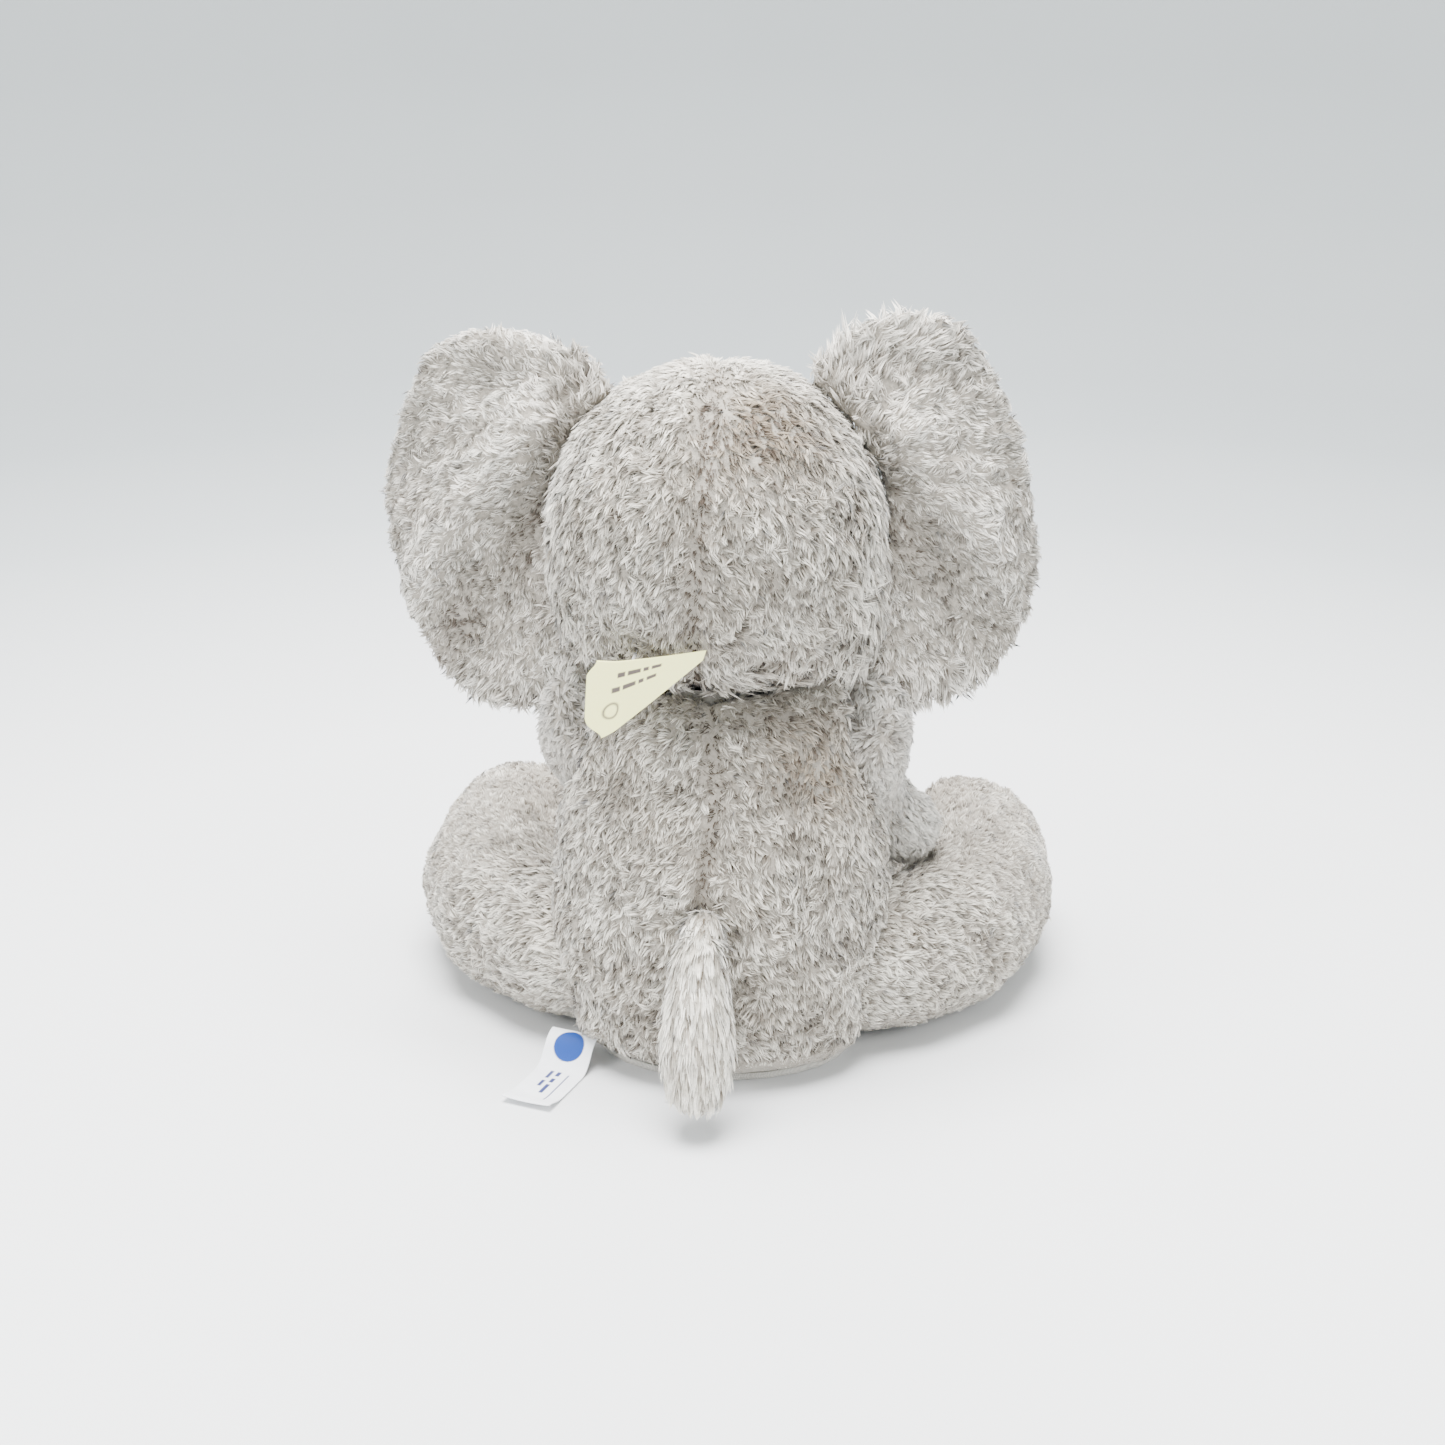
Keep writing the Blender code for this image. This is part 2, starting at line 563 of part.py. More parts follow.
def build_limbs():
    for side in ("left", "right"):
        arm = arm_path(side)
        leg = leg_path(side)
        shoulder = Vector(arm[0][:3]) * MM
        hip = Vector(leg[0][:3]) * MM
        add_piece(f"arm_{side}_skin", limb_skin(arm), (0.52, 0.49, 0.45), pivot=shoulder)
        bm = limb_solid(arm, PLUSH + CLEAR)
        add_piece(f"arm_{side}_stuffing", bm, (0.80, 0.80, 0.78), pivot=shoulder)

        foot = {"cap": FOOT_CAP, "floor": 0.0}
        add_piece(f"leg_{side}_skin", limb_skin(leg, **foot), (0.52, 0.49, 0.45), pivot=hip)
        bm = limb_solid(leg, PLUSH + CLEAR, cap=FOOT_CAP, floor=PLUSH + CLEAR)
        add_piece(f"leg_{side}_stuffing", bm, (0.80, 0.80, 0.78), pivot=hip)

        end = Vector(leg[-1][:3]) * MM
        facing = (end - Vector(leg[-2][:3]) * MM).normalized()
        sole_turn = facing.to_track_quat("Z", "Y").to_matrix()
        face = leg[-1][3] * MM * FOOT_CAP + CLEAR
        profile = [(r * MM, face + z * MM) for r, z in SOLE_PROFILE]
        bm = turned_solid(profile, 24, start=(0, 0, face), end=(0, 0, face + SOLE_CROWN * MM))
        add_piece(f"sole_{side}_pad", turned(bm, sole_turn, end), (0.60, 0.56, 0.52), pivot=hip)


def build_tail():
    """A short tab caught in the back seam, and the furry tail that hangs from it."""
    tab = ball(TAIL_ROOT, TAIL_TAB_R, 16, 10)
    add_piece("tail_tab", tab, (0.50, 0.47, 0.43), pivot=TAIL_ROOT)
    pivot = TAIL_ROOT + TAIL_REACH
    path = [(*(pivot / MM + Vector(offset)), radius) for *offset, radius in TAIL_PATH]
    bm = limb_solid(path, 0.0)
    add_piece("tail_skin", bm, (0.60, 0.56, 0.50), pivot=pivot)


def bent_strip(corners, thickness, bend, steps=6):
    """A thin four-cornered sheet; bend bows its middle towards its thick side."""
    top_left, top_right, low_left, low_right = corners
    normal = (top_right - top_left).cross(low_left - top_left).normalized()
    rings = []
    for k in range(steps + 1):
        t = k / steps
        left = top_left.lerp(low_left, t)
        right = top_right.lerp(low_right, t)
        bow = normal * bend * math.sin(math.pi * t)
        rise = bow + normal * thickness
        rings.append([left + bow, right + bow, right + rise, left + rise])
    bm = loft(rings)
    bmesh.ops.holes_fill(bm, edges=bm.edges, sides=0)
    return bm


def build_trim():
    """Hang card with its plastic pin, and the label sewn into the seat seam."""
    corners = [CARD_PIVOT + Vector(offset) * MM for offset in CARD_CORNERS]
    bm = bent_strip(corners, CARD_T, CARD_BOW)
    add_piece("hang_card", bm, (0.83, 0.81, 0.60), 0.6, pivot=CARD_PIVOT)

    pin = turned_solid(((PIN_R, 0.0), (PIN_R, PIN_REACH.length)), 10,
                       start=(0, 0, 0), end=(0, 0, PIN_REACH.length))
    turn = PIN_REACH.to_track_quat("Z", "Y").to_matrix()
    add_piece("tag_pin", turned(pin, turn, CARD_PIVOT - PIN_REACH), (0.85, 0.85, 0.85), 0.3)

    along = Vector((LABEL_WAY.y, -LABEL_WAY.x, 0.0))
    drop = Vector((0, 0, LABEL_T + 0.3 * MM - LABEL_ROOT.z))
    root_left = LABEL_ROOT + along * LABEL_W / 2
    root_right = LABEL_ROOT - along * LABEL_W / 2
    reach = LABEL_WAY * math.sqrt(LABEL_L ** 2 - drop.length ** 2)
    far_left = root_left + reach + drop
    far_right = root_right + reach + drop
    bm = bent_strip((root_right, root_left, far_right, far_left), LABEL_T, 0.0)
    add_piece("sewn_label", bm, (0.85, 0.85, 0.86), 0.45, pivot=LABEL_ROOT)


def main():
    clear_scene()
    build_torso()
    build_seat()
    build_head()
    build_ears()
    build_limbs()
    build_tail()
    build_trim()


main()
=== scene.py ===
"""Looks of a sitting plush elephant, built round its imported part.

The soft pieces are padded shapes with seams, and the plush on them is made of
locks of bent, tapered strands. The animal faces -Y and its left side is +X.
"""

import math

import bmesh
import bpy
import numpy as np
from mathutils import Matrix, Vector
from mathutils.bvhtree import BVHTree


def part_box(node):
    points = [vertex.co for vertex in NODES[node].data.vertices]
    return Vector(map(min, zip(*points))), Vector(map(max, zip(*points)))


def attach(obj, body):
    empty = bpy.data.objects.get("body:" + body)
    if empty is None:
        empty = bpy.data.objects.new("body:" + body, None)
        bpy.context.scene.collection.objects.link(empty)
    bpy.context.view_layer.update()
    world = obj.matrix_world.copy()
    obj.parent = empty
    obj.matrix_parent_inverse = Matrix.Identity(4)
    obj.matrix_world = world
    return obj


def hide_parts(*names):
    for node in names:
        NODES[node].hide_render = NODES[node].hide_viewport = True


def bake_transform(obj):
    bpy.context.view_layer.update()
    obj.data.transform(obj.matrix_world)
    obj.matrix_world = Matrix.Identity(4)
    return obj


MM = 0.001
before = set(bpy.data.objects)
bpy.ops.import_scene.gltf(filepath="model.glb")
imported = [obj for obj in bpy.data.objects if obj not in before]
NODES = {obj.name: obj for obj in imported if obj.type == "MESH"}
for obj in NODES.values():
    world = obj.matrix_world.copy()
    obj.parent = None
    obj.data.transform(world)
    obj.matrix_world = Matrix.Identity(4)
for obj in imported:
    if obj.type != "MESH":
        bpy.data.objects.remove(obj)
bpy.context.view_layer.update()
SCENE = bpy.context.scene

FLOOR_GAP = 0.35 * MM           # no strand goes lower than this
FAR = 1.0                       # stands for no seam on this side
SIDES = (("left", 1.0), ("right", -1.0))


def mm(*values):
    return np.array(values) * MM


HEAD_C = mm(2.0, -2.0, 176.5)
DOWN = np.array([0.0, 0.0, -1.0])

# Centre lines of the limbs, left side, in millimetres; each paw lies its own way
ARM_LINES = {"left": ((42, -6, 104), (41.5, -19, 94), (41, -31, 82), (42, -41, 70), (44, -48, 60.5)),
             "right": ((42, -6, 104), (41.5, -19, 94), (42, -31, 82), (48, -39, 69), (58, -43, 60.5))}
LEG_LINE = ((35, -5, 27.5), (57, -14, 25.5), (77, -33, 25.5), (87, -59, 27), (84, -86, 28.5), (82, -102, 29))
TRUNK_LINE = ((2, -43, 165), (2, -62, 152), (2, -76, 134), (2, -83, 114), (2, -92, 99), (2, -101, 93))
TAIL_LINE = ((1.5, 44, 62), (1.5, 57.5, 57), (1.5, 61.5, 44), (1.5, 64.5, 30), (1.5, 66.5, 14))


# ---------- numbers

def unit(v):
    v = np.asarray(v)
    return v / np.maximum(np.linalg.norm(v, axis=-1, keepdims=True), 1e-12)


def smooth(x, low, high):
    t = np.clip((x - low) / (high - low), 0.0, 1.0)
    return t * t * (3.0 - 2.0 * t)


def over(x, low, high):
    """0 below one place and 1 above another, both in millimetres."""
    return smooth(x, low * MM, high * MM)


def near(distance, width):
    """1 at no distance, falling to 0 past a width in millimetres."""
    return np.exp(-(distance / (width * MM)) ** 2)


def spot(points, centre, radius):
    """1 at a place given in millimetres, falling to 0 round it."""
    return near(np.linalg.norm(points - np.array(centre) * MM, axis=1), radius)


def waves(seed, length, points, count=7, channels=1):
    """Smooth noise made of a few slanted sine waves; the same seed gives the same noise."""
    rng = np.random.default_rng(seed)
    ways = unit(rng.normal(size=(channels, count, 3)))
    ways = ways * (math.tau / (length * rng.uniform(0.7, 1.5, (channels, count, 1))))
    phase = rng.uniform(0, math.tau, (channels, count))
    value = np.sin(np.einsum("nj,cij->nci", points, ways) + phase).mean(2) * 1.8
    return value[:, 0] if channels == 1 else value


def polyline(points, steps=8):
    """Catmull-Rom curve through a few points in millimetres, in metres."""
    p = np.array(points, float) * MM
    p = np.vstack([2 * p[0] - p[1], p, 2 * p[-1] - p[-2]])
    rows = []
    for i in range(1, len(p) - 2):
        a, b, c, d = p[i - 1], p[i], p[i + 1], p[i + 2]
        for t in np.arange(steps) / steps:
            rows.append(0.5 * (2 * b + (c - a) * t + (2 * a - 5 * b + 4 * c - d) * t * t
                               + (3 * b - a - 3 * c + d) * t ** 3))
    rows.append(p[-2])
    return np.array(rows)


def nearest(line, points):
    return ((points[:, None, :] - line[None]) ** 2).sum(2).argmin(1)


def along(line, points):
    """For each point: the line's direction there, and how far along it is, 0 to 1."""
    index = nearest(line, points)
    return unit(np.gradient(line, axis=0))[index], index / (len(line) - 1)


# ---------- meshes

def new_object(name, data):
    obj = bpy.data.objects.new(name, data)
    SCENE.collection.objects.link(obj)
    return obj


def mesh_of(bm, name):
    mesh = bpy.data.meshes.new(name)
    bm.to_mesh(mesh)
    bm.free()
    return mesh


def circle(sides, across, up):
    """Unit directions round a circle that is spanned by two directions."""
    turn = np.arange(sides) * math.tau / sides
    return across[..., None, :] * np.cos(turn)[:, None] + up[..., None, :] * np.sin(turn)[:, None]


def ring_mesh(name, rings, close):
    """A surface through rings of points; close adds the ends' faces, from a bmesh and its rings of vertices."""
    bm = bmesh.new()
    loops = [[bm.verts.new(point) for point in ring] for ring in rings]
    for a, b in zip(loops, loops[1:]):
        for j in range(len(a)):
            i = (j + 1) % len(a)
            bm.faces.new((a[j], a[i], b[i], b[j]))
    close(bm, loops)
    return mesh_of(bm, name)


def read(items, key, width, kind=np.float32):
    flat = np.empty(len(items) * width, kind)
    items.foreach_get(key, flat)
    return flat.reshape(-1, width)


def co_of(mesh):
    return read(mesh.vertices, "co", 3).astype(float)


def set_co(mesh, co):
    mesh.vertices.foreach_set("co", co.astype(np.float32).ravel())
    mesh.update()


def normals_of(mesh):
    return read(mesh.vertex_normals, "vector", 3).astype(float)


def triangles_of(mesh):
    mesh.calc_loop_triangles()
    return read(mesh.loop_triangles, "vertices", 3, np.int32)


def edges_of(mesh):
    return read(mesh.edges, "vertices", 2, np.int32)


def mesh_from(name, co, faces, uv=None, values=()):
    """A smooth-shaded mesh from arrays; faces all have the same number of corners."""
    mesh = bpy.data.meshes.new(name)
    corners = faces.shape[1]
    mesh.vertices.add(len(co))
    mesh.vertices.foreach_set("co", co.astype(np.float32).ravel())
    mesh.loops.add(faces.size)
    mesh.loops.foreach_set("vertex_index", faces.astype(np.int32).ravel())
    mesh.polygons.add(len(faces))
    mesh.polygons.foreach_set("loop_start", np.arange(len(faces), dtype=np.int32) * corners)
    mesh.polygons.foreach_set("use_smooth", np.ones(len(faces), bool))
    mesh.update(calc_edges=True)
    if uv is not None:
        layer = mesh.uv_layers.new(name="OFBake")
        layer.data.foreach_set("uv", uv[faces.ravel()].astype(np.float32).ravel())
    for key, value in values:
        mesh.attributes.new(key, "FLOAT", "POINT").data.foreach_set("value", value.astype(np.float32))
    return mesh


def apply_modifiers(obj):
    old = obj.data
    obj.data = bpy.data.meshes.new_from_object(obj.evaluated_get(bpy.context.evaluated_depsgraph_get()))
    obj.modifiers.clear()
    bpy.data.meshes.remove(old)


def relax(co, edges, steps):
    """Laplacian smoothing, half a step at a time."""
    count = np.zeros(len(co))
    np.add.at(count, edges.ravel(), 1)
    for _ in range(steps):
        total = np.zeros_like(co)
        np.add.at(total, edges[:, 0], co[edges[:, 1]])
        np.add.at(total, edges[:, 1], co[edges[:, 0]])
        co = co + (total / np.maximum(count, 1)[:, None] - co) * 0.5
    return co


def keep_largest(bm):
    """Drop every loose part of a bmesh but the one that reaches furthest."""
    left, parts = set(bm.verts), []
    while left:
        part, stack = set(), [left.pop()]
        while stack:
            vert = stack.pop()
            part.add(vert)
            others = {edge.other_vert(vert) for edge in vert.link_edges} & left
            left -= others
            stack += others
        parts.append(part)
    best = max(parts, key=lambda part: np.ptp([v.co for v in part], axis=0).sum())
    bmesh.ops.delete(bm, geom=[v for v in bm.verts if v not in best], context="VERTS")


STANDS_FOR = {}                 # the CAD nodes inside each padded shape


def soft_shape(name, nodes, voxel, inset, steps=3, extra=()):
    """One closed smooth surface round some CAD nodes, a little inside their outer surface."""
    bm = bmesh.new()
    for node in nodes:
        bm.from_mesh(NODES[node].data)
    for mesh in extra:
        bm.from_mesh(mesh)
    bmesh.ops.remove_doubles(bm, verts=bm.verts, dist=1e-6)
    obj = new_object(name, mesh_of(bm, name))
    remesh = obj.modifiers.new("remesh", "REMESH")
    remesh.mode = "VOXEL"
    remesh.voxel_size = voxel
    apply_modifiers(obj)
    bm = bmesh.new()
    bm.from_mesh(obj.data)
    keep_largest(bm)
    bmesh.ops.recalc_face_normals(bm, faces=bm.faces)
    bm.to_mesh(obj.data)
    bm.free()
    obj.data.update()
    co = relax(co_of(obj.data), edges_of(obj.data), steps)
    set_co(obj.data, co)
    set_co(obj.data, co - normals_of(obj.data) * inset)
    obj.data.shade_smooth()
    STANDS_FOR[name] = nodes
    return obj


FABRIC = dict(quality=4, mass=0.3, tension_stiffness=12.0, compression_stiffness=12.0, shear_stiffness=4.0,
              bending_stiffness=0.4, use_pressure=True, uniform_pressure_force=4.0, vertex_group_mass="held")
PUFF_FRAMES = 20
PUFF_CAP = 1.6 * MM             # how far the stuffing may push a point of the fabric


def puff(parts):
    """Stuff the padded shapes: cloth under pressure, held at its seams."""
    for obj, held in parts:
        group = obj.vertex_groups.new(name="held")
        for index in np.nonzero(held > 0.02)[0]:
            group.add([int(index)], float(held[index]), "REPLACE")
        cloth = obj.modifiers.new("puff", "CLOTH")
        for key, value in FABRIC.items():
            setattr(cloth.settings, key, value)
        cloth.settings.effector_weights.gravity = 0.0
        cloth.collision_settings.use_collision = False
        cloth.point_cache.frame_start = 1
        cloth.point_cache.frame_end = PUFF_FRAMES
    for step in range(1, PUFF_FRAMES + 1):
        SCENE.frame_set(step)
    graph = bpy.context.evaluated_depsgraph_get()
    ends = {obj.name: co_of(obj.evaluated_get(graph).data) for obj, _ in parts}
    for obj, _ in parts:
        obj.modifiers.clear()
        obj.vertex_groups.clear()
        start, normals = co_of(obj.data), normals_of(obj.data)
        swell = ((ends[obj.name] - start) * normals).sum(1)
        swell = relax(np.clip(swell, -PUFF_CAP, PUFF_CAP)[:, None], edges_of(obj.data), 4)
        set_co(obj.data, start + normals * swell)
    SCENE.frame_set(1)


def subdivide(obj):
    modifier = obj.modifiers.new("subdivide", "SUBSURF")
    modifier.levels = modifier.render_levels = 1
    apply_modifiers(obj)
    obj.data.shade_smooth()


# ---------- seams

SPINE = ((135, 2.4), (118, 1.0), (100, -2.0), (85, 0.5), (70, 2.4), (58, 4.0), (10, 4.5))     # height, x
HEAD_BACK = ((228, 1.0), (205, 1.0), (180, 2.5), (140, 5.5), (126, 5.5))


def seam_x(rows, z):
    heights, offsets = np.array(rows[::-1]).T * MM
    return np.interp(z, heights, offsets)


def torso_seams(p):
    """Distance to the nearest seam of the torso: spine, belly and both sides."""
    x, y, z = p.T
    spine = np.where(y > 0, np.abs(x - seam_x(SPINE, z)), FAR)
    belly = np.where(y < 0, np.abs(x), FAR)
    flank = np.where(np.abs(x) > 30 * MM, np.abs(y + 3 * MM), FAR)
    return np.minimum(np.minimum(spine, belly), flank)


def pocket_slit(p):
    """Distance to the opening of the seat pocket, low on the left of the back."""
    x, y, z = p.T
    return np.where((y > 20 * MM) & (x > 10 * MM) & (x < 41 * MM), np.abs(z - 7.0 * MM), FAR)


def head_seams(p):
    x, y, z = p.T
    back = np.where(y > -20 * MM, np.abs(x - seam_x(HEAD_BACK, z)), FAR)
    cheek = np.where(y <= -20 * MM, np.abs(np.abs(x - HEAD_C[0]) - 21 * MM), FAR)
    return np.minimum(back, cheek)


def limb_seams(line, side_way):
    """Distance to the seam that runs along one side of a limb."""
    def distance(p):
        index = nearest(line, p)
        offset = p - line[index]
        across = unit(np.cross(unit(np.gradient(line, axis=0))[index], side_way))
        facing = (offset * side_way).sum(1) > 0
        return np.where(facing, np.abs((offset * across).sum(1)), FAR)
    return distance


def bulge(obj, centre, radius, push):
    """Push the fabric out round a place, in millimetres; push is one length along the normals, or a vector."""
    co = co_of(obj.data)
    way = np.array(push) if np.ndim(push) else normals_of(obj.data) * push
    set_co(obj.data, co + spot(co, centre, radius)[:, None] * way * MM)


def groove(obj, distance, depth, width):
    """Sink a padded shape along its seams."""
    co = co_of(obj.data)
    sink = depth * MM * near(distance(co), width)
    set_co(obj.data, co - normals_of(obj.data) * sink[:, None])


def ear_relief(p, sign):
    """How far a place is on the ridge across an ear's back, and in the hollow beside it."""
    out = (p[:, 0] - HEAD_C[0]) * sign - 50 * MM
    up = p[:, 2] - HEAD_C[2] - 40 * MM
    across = (out * 0.8 + up * 0.6) / MM
    down = over(out * 0.6 - up * 0.8, -6, 12)
    return down * np.exp(-(across / 9) ** 2), down * np.exp(-((across + 19) / 9) ** 2)


def fold_ear(obj, sign):
    """Raise the ridge across the back of an ear, and sink the hollow beside it a little."""
    co = co_of(obj.data)
    ridge, hollow = ear_relief(co, sign)
    co[:, 1] += (4.0 * ridge - 0.9 * hollow) * over(co[:, 1], -20, -13) * MM
    set_co(obj.data, co)


def ripple(obj, seed, length=8.0, depth=0.45):
    """Lumps of stuffing and clumped pile under the fabric."""
    co = co_of(obj.data)
    rise = waves(seed, length * MM, co) + 0.8 * waves(seed + 1, 2.4 * length * MM, co)
    rise *= depth * MM * over(co[:, 2], 2, 8)
    set_co(obj.data, co + normals_of(obj.data) * rise[:, None])


# ---------- plush

def scatter(host, step, rng, density=None):
    """Roots spread evenly over a surface: points, normals."""
    co, tri, normal = co_of(host.data), triangles_of(host.data), normals_of(host.data)
    a, b, c = co[tri[:, 0]], co[tri[:, 1]], co[tri[:, 2]]
    area = np.linalg.norm(np.cross(b - a, c - a), axis=1) / 2
    want = area / step ** 2
    if density is not None:
        want = want * density((a + b + c) / 3, unit(np.cross(b - a, c - a)))
    total = np.concatenate([[0.0], np.cumsum(want)]) + rng.random()
    count = np.floor(total[1:]).astype(int) - np.floor(total[:-1]).astype(int)
    index = np.repeat(np.arange(len(tri)), count)
    first, second = np.sqrt(rng.random(len(index))), rng.random(len(index))
    weights = np.stack([1 - first, first * (1 - second), first * second], 1)[:, :, None]
    points = (co[tri[index]] * weights).sum(1)
    normals = unit((normal[tri[index]] * weights).sum(1))
    return points, normals


def buried(points, others, depth):
    """Which points lie deeper than depth inside one of the other shapes."""
    found = np.zeros(len(points), bool)
    for other in others:
        co = co_of(other.data)
        tree = BVHTree.FromPolygons([Vector(v) for v in co], [tuple(t) for t in triangles_of(other.data)])
        low, high = co.min(0), co.max(0)
        for i in np.nonzero(((points > low) & (points < high)).all(1) & ~found)[0]:
            place, normal, _, _ = tree.find_nearest(Vector(points[i]))
            found[i] = (Vector(points[i]) - place).dot(normal) < -depth
    return found


SOFTEN = 0.58                   # how far a strand is shaded like the surface that it grows from


def strand_mesh(name, locks):
    """Tapered three-sided strands as one mesh; locks holds an array for each quantity."""
    centres, radii = locks["centres"], locks["radii"]
    count, rings = radii.shape
    tangent = unit(np.gradient(centres, axis=1))
    side = unit(np.cross(tangent, locks["normal"][:, None, :]))
    up = np.cross(side, tangent)
    turn = locks["twist"][:, None] + np.arange(3)[None] * (math.tau / 3)
    ring = (side[:, :rings, None, :] * np.cos(turn)[:, None, :, None]
            + up[:, :rings, None, :] * (0.62 * np.sin(turn))[:, None, :, None])
    verts = centres[:, :rings, None, :] + ring * radii[:, :, None, None]
    verts = np.concatenate([verts.reshape(count, rings * 3, 3), centres[:, -1:, :]], 1)
    normals = unit(np.concatenate([ring.reshape(count, rings * 3, 3), up[:, -1:]], 1)) * (1 - SOFTEN)
    normals = unit(normals + locks["shade"][:, None, :] * SOFTEN)
    per = rings * 3 + 1
    verts[:, :, 2] = np.maximum(verts[:, :, 2], FLOOR_GAP)
    faces = [(0, 1, 2)]
    for k in range(rings - 1):
        for j in range(3):
            a, b = 3 * k + j, 3 * k + (j + 1) % 3
            faces += [(b, a, b + 3), (b + 3, a, a + 3)]
    last = 3 * (rings - 1)
    faces += [(last + (j + 1) % 3, last + j, per - 1) for j in range(3)]
    faces = (np.array(faces)[None] + (np.arange(count) * per)[:, None, None]).reshape(-1, 3)
    grid = int(math.ceil(math.sqrt(count)))
    cell = np.arange(count)
    share = np.concatenate([np.repeat(np.arange(rings) / rings, 3), [1.0]])
    sideways = np.concatenate([np.tile([0.25, 0.5, 0.75], rings), [0.5]])
    u = ((cell % grid)[:, None] + sideways[None]) / grid
    v = ((cell // grid)[:, None] + 0.12 + 0.76 * share[None]) / grid
    uv = np.stack([u, v], 2).reshape(-1, 2)
    # Painted shade deep in the pile and painted light on the tips: each strand is darker towards its root and
    # lighter at its tip
    tones = locks["tone"][:, None] + locks["fade"][:, None] * (share[None] - 0.75)
    warms = np.repeat(locks["warm"][:, None], per, 1)
    mesh = mesh_from(name, verts.reshape(-1, 3), faces, uv,
                     (("tone", tones.ravel()), ("warm", warms.ravel())))
    mesh.normals_split_custom_set_from_vertices(normals.reshape(-1, 3).astype(np.float32))
    return mesh


CREASE_SHADE = 0.36                   # painted shade: how much darker the creases between clumps are


def strands_on(host, flow, seed, step=1.5, length=5.0, lift=(34, 4), width=0.5, curl=0.12, wander=0.8, fade=0.25,
               knots=(0.0, 0.45), shape=None, colour=None, density=None, avoid=(),
               gather=0.0, group=1, tilt=0.22, pale=0.0):
    """Strands over a padded shape, as arrays. Lengths are in millimetres."""
    rng = np.random.default_rng(seed)
    roots, normals = scatter(host, step * MM, rng, density)
    if avoid:
        keep = ~buried(roots + normals * 2 * MM, avoid, 4 * MM)
        roots, normals = roots[keep], normals[keep]
    base = sum(host.name.encode())

    def noise(number, reach, **more):
        return waves(base + number, reach * MM, roots, **more)

    size = length * MM * rng.uniform(0.8, 1.15, len(roots)) * (1 + 0.22 * noise(8, 4.2))
    if shape is not None:
        size = size * shape(roots, normals)
    keep = size > 0.7 * MM
    roots, normals, size = roots[keep], normals[keep], size[keep]
    locks = len(roots)
    drift = noise(1, 5.0, channels=3) + 0.7 * noise(2, 16, channels=3)
    way = unit(flow(roots, normals)) + (drift + rng.normal(0, 0.22, (locks, 3))) * wander
    way = unit(way - normals * (way * normals).sum(1, keepdims=True))
    tone = 0.80 + pale + 0.20 * noise(3, 3.2, count=9) + 0.15 * noise(4, 18)
    # Painted shade in the creases between clumps
    crease_shade = 1.0 - smooth(np.abs(noise(9, 7.0, count=9)), 0.0, 0.25)
    tone += rng.normal(0, 0.08, locks) - CREASE_SHADE * crease_shade
    warm = np.clip(0.10 + 0.14 * noise(5, 30), 0, 1)
    if colour is not None:
        extra_tone, extra_warm = colour(roots)
        tone, warm = tone + extra_tone, np.clip(warm + extra_warm, 0, 1)
    jitter = rng.normal(0, 6.0, locks)
    start = np.radians(lift[0] + jitter)
    end = np.radians(lift[1] + 0.6 * jitter + 20 * noise(6, 4.5))
    phase = rng.uniform(0, math.tau, locks) + 2.0 * noise(7, 9)
    turns = rng.uniform(0.45, 0.85, locks)
    across = np.cross(normals, way)

    pick = np.repeat(np.arange(locks), group)
    n, f, b = normals[pick], way[pick], across[pick]
    total = len(pick)
    reach = size[pick] * (rng.uniform(0.86, 1.1, total) if group > 1 else 1.0)
    angle = rng.uniform(0, math.tau, total)
    radius = step * MM * 0.62 * np.sqrt(rng.random(total)) * (group > 1)
    offset = f * (radius * np.cos(angle))[:, None] + b * (radius * np.sin(angle))[:, None]
    a0, a1 = start[pick], end[pick]
    a1 = np.where(np.abs(a1 - a0) < 0.02, a0 - 0.02, a1)
    centres = []
    for t in (*knots, 1.0):
        at = a0 + (a1 - a0) * t
        forward = (np.sin(at) - np.sin(a0)) / (a1 - a0)
        rise = (np.cos(a0) - np.cos(at)) / (a1 - a0)
        sway = curl * t * np.sin(math.tau * turns[pick] * t + phase[pick])
        place = roots[pick] + (n * rise[:, None] + f * forward[:, None] + b * sway[:, None]) * reach[:, None]
        centres.append(place + offset * (1.0 - gather * t ** 0.8))
    centres = np.stack(centres, 1)
    centres[:, 0] -= n * (0.6 * MM)
    taper = np.array([1.0 - 0.2 * t - 0.4 * t * t for t in knots])
    radii = width * MM * rng.uniform(0.75, 1.2, total)[:, None] * taper[None]
    radii = radii * np.clip(reach / (length * MM), 0.55, 1.15)[:, None]
    relief = 0.62 * noise(10, 4.0, channels=3) + 0.32 * noise(11, 11, channels=3)
    shade = unit(n + rng.normal(0, tilt, (total, 3)) + relief[pick] + f * 0.12)
    return {"centres": centres, "radii": radii, "normal": n, "shade": shade, "root": roots[pick],
            "tone": tone[pick], "warm": warm[pick], "fade": np.full(total, fade),
            "twist": rng.uniform(0, math.tau, total)}


def merged(layers):
    return {key: np.concatenate([layer[key] for layer in layers]) for key in layers[0]}


# ---------- materials

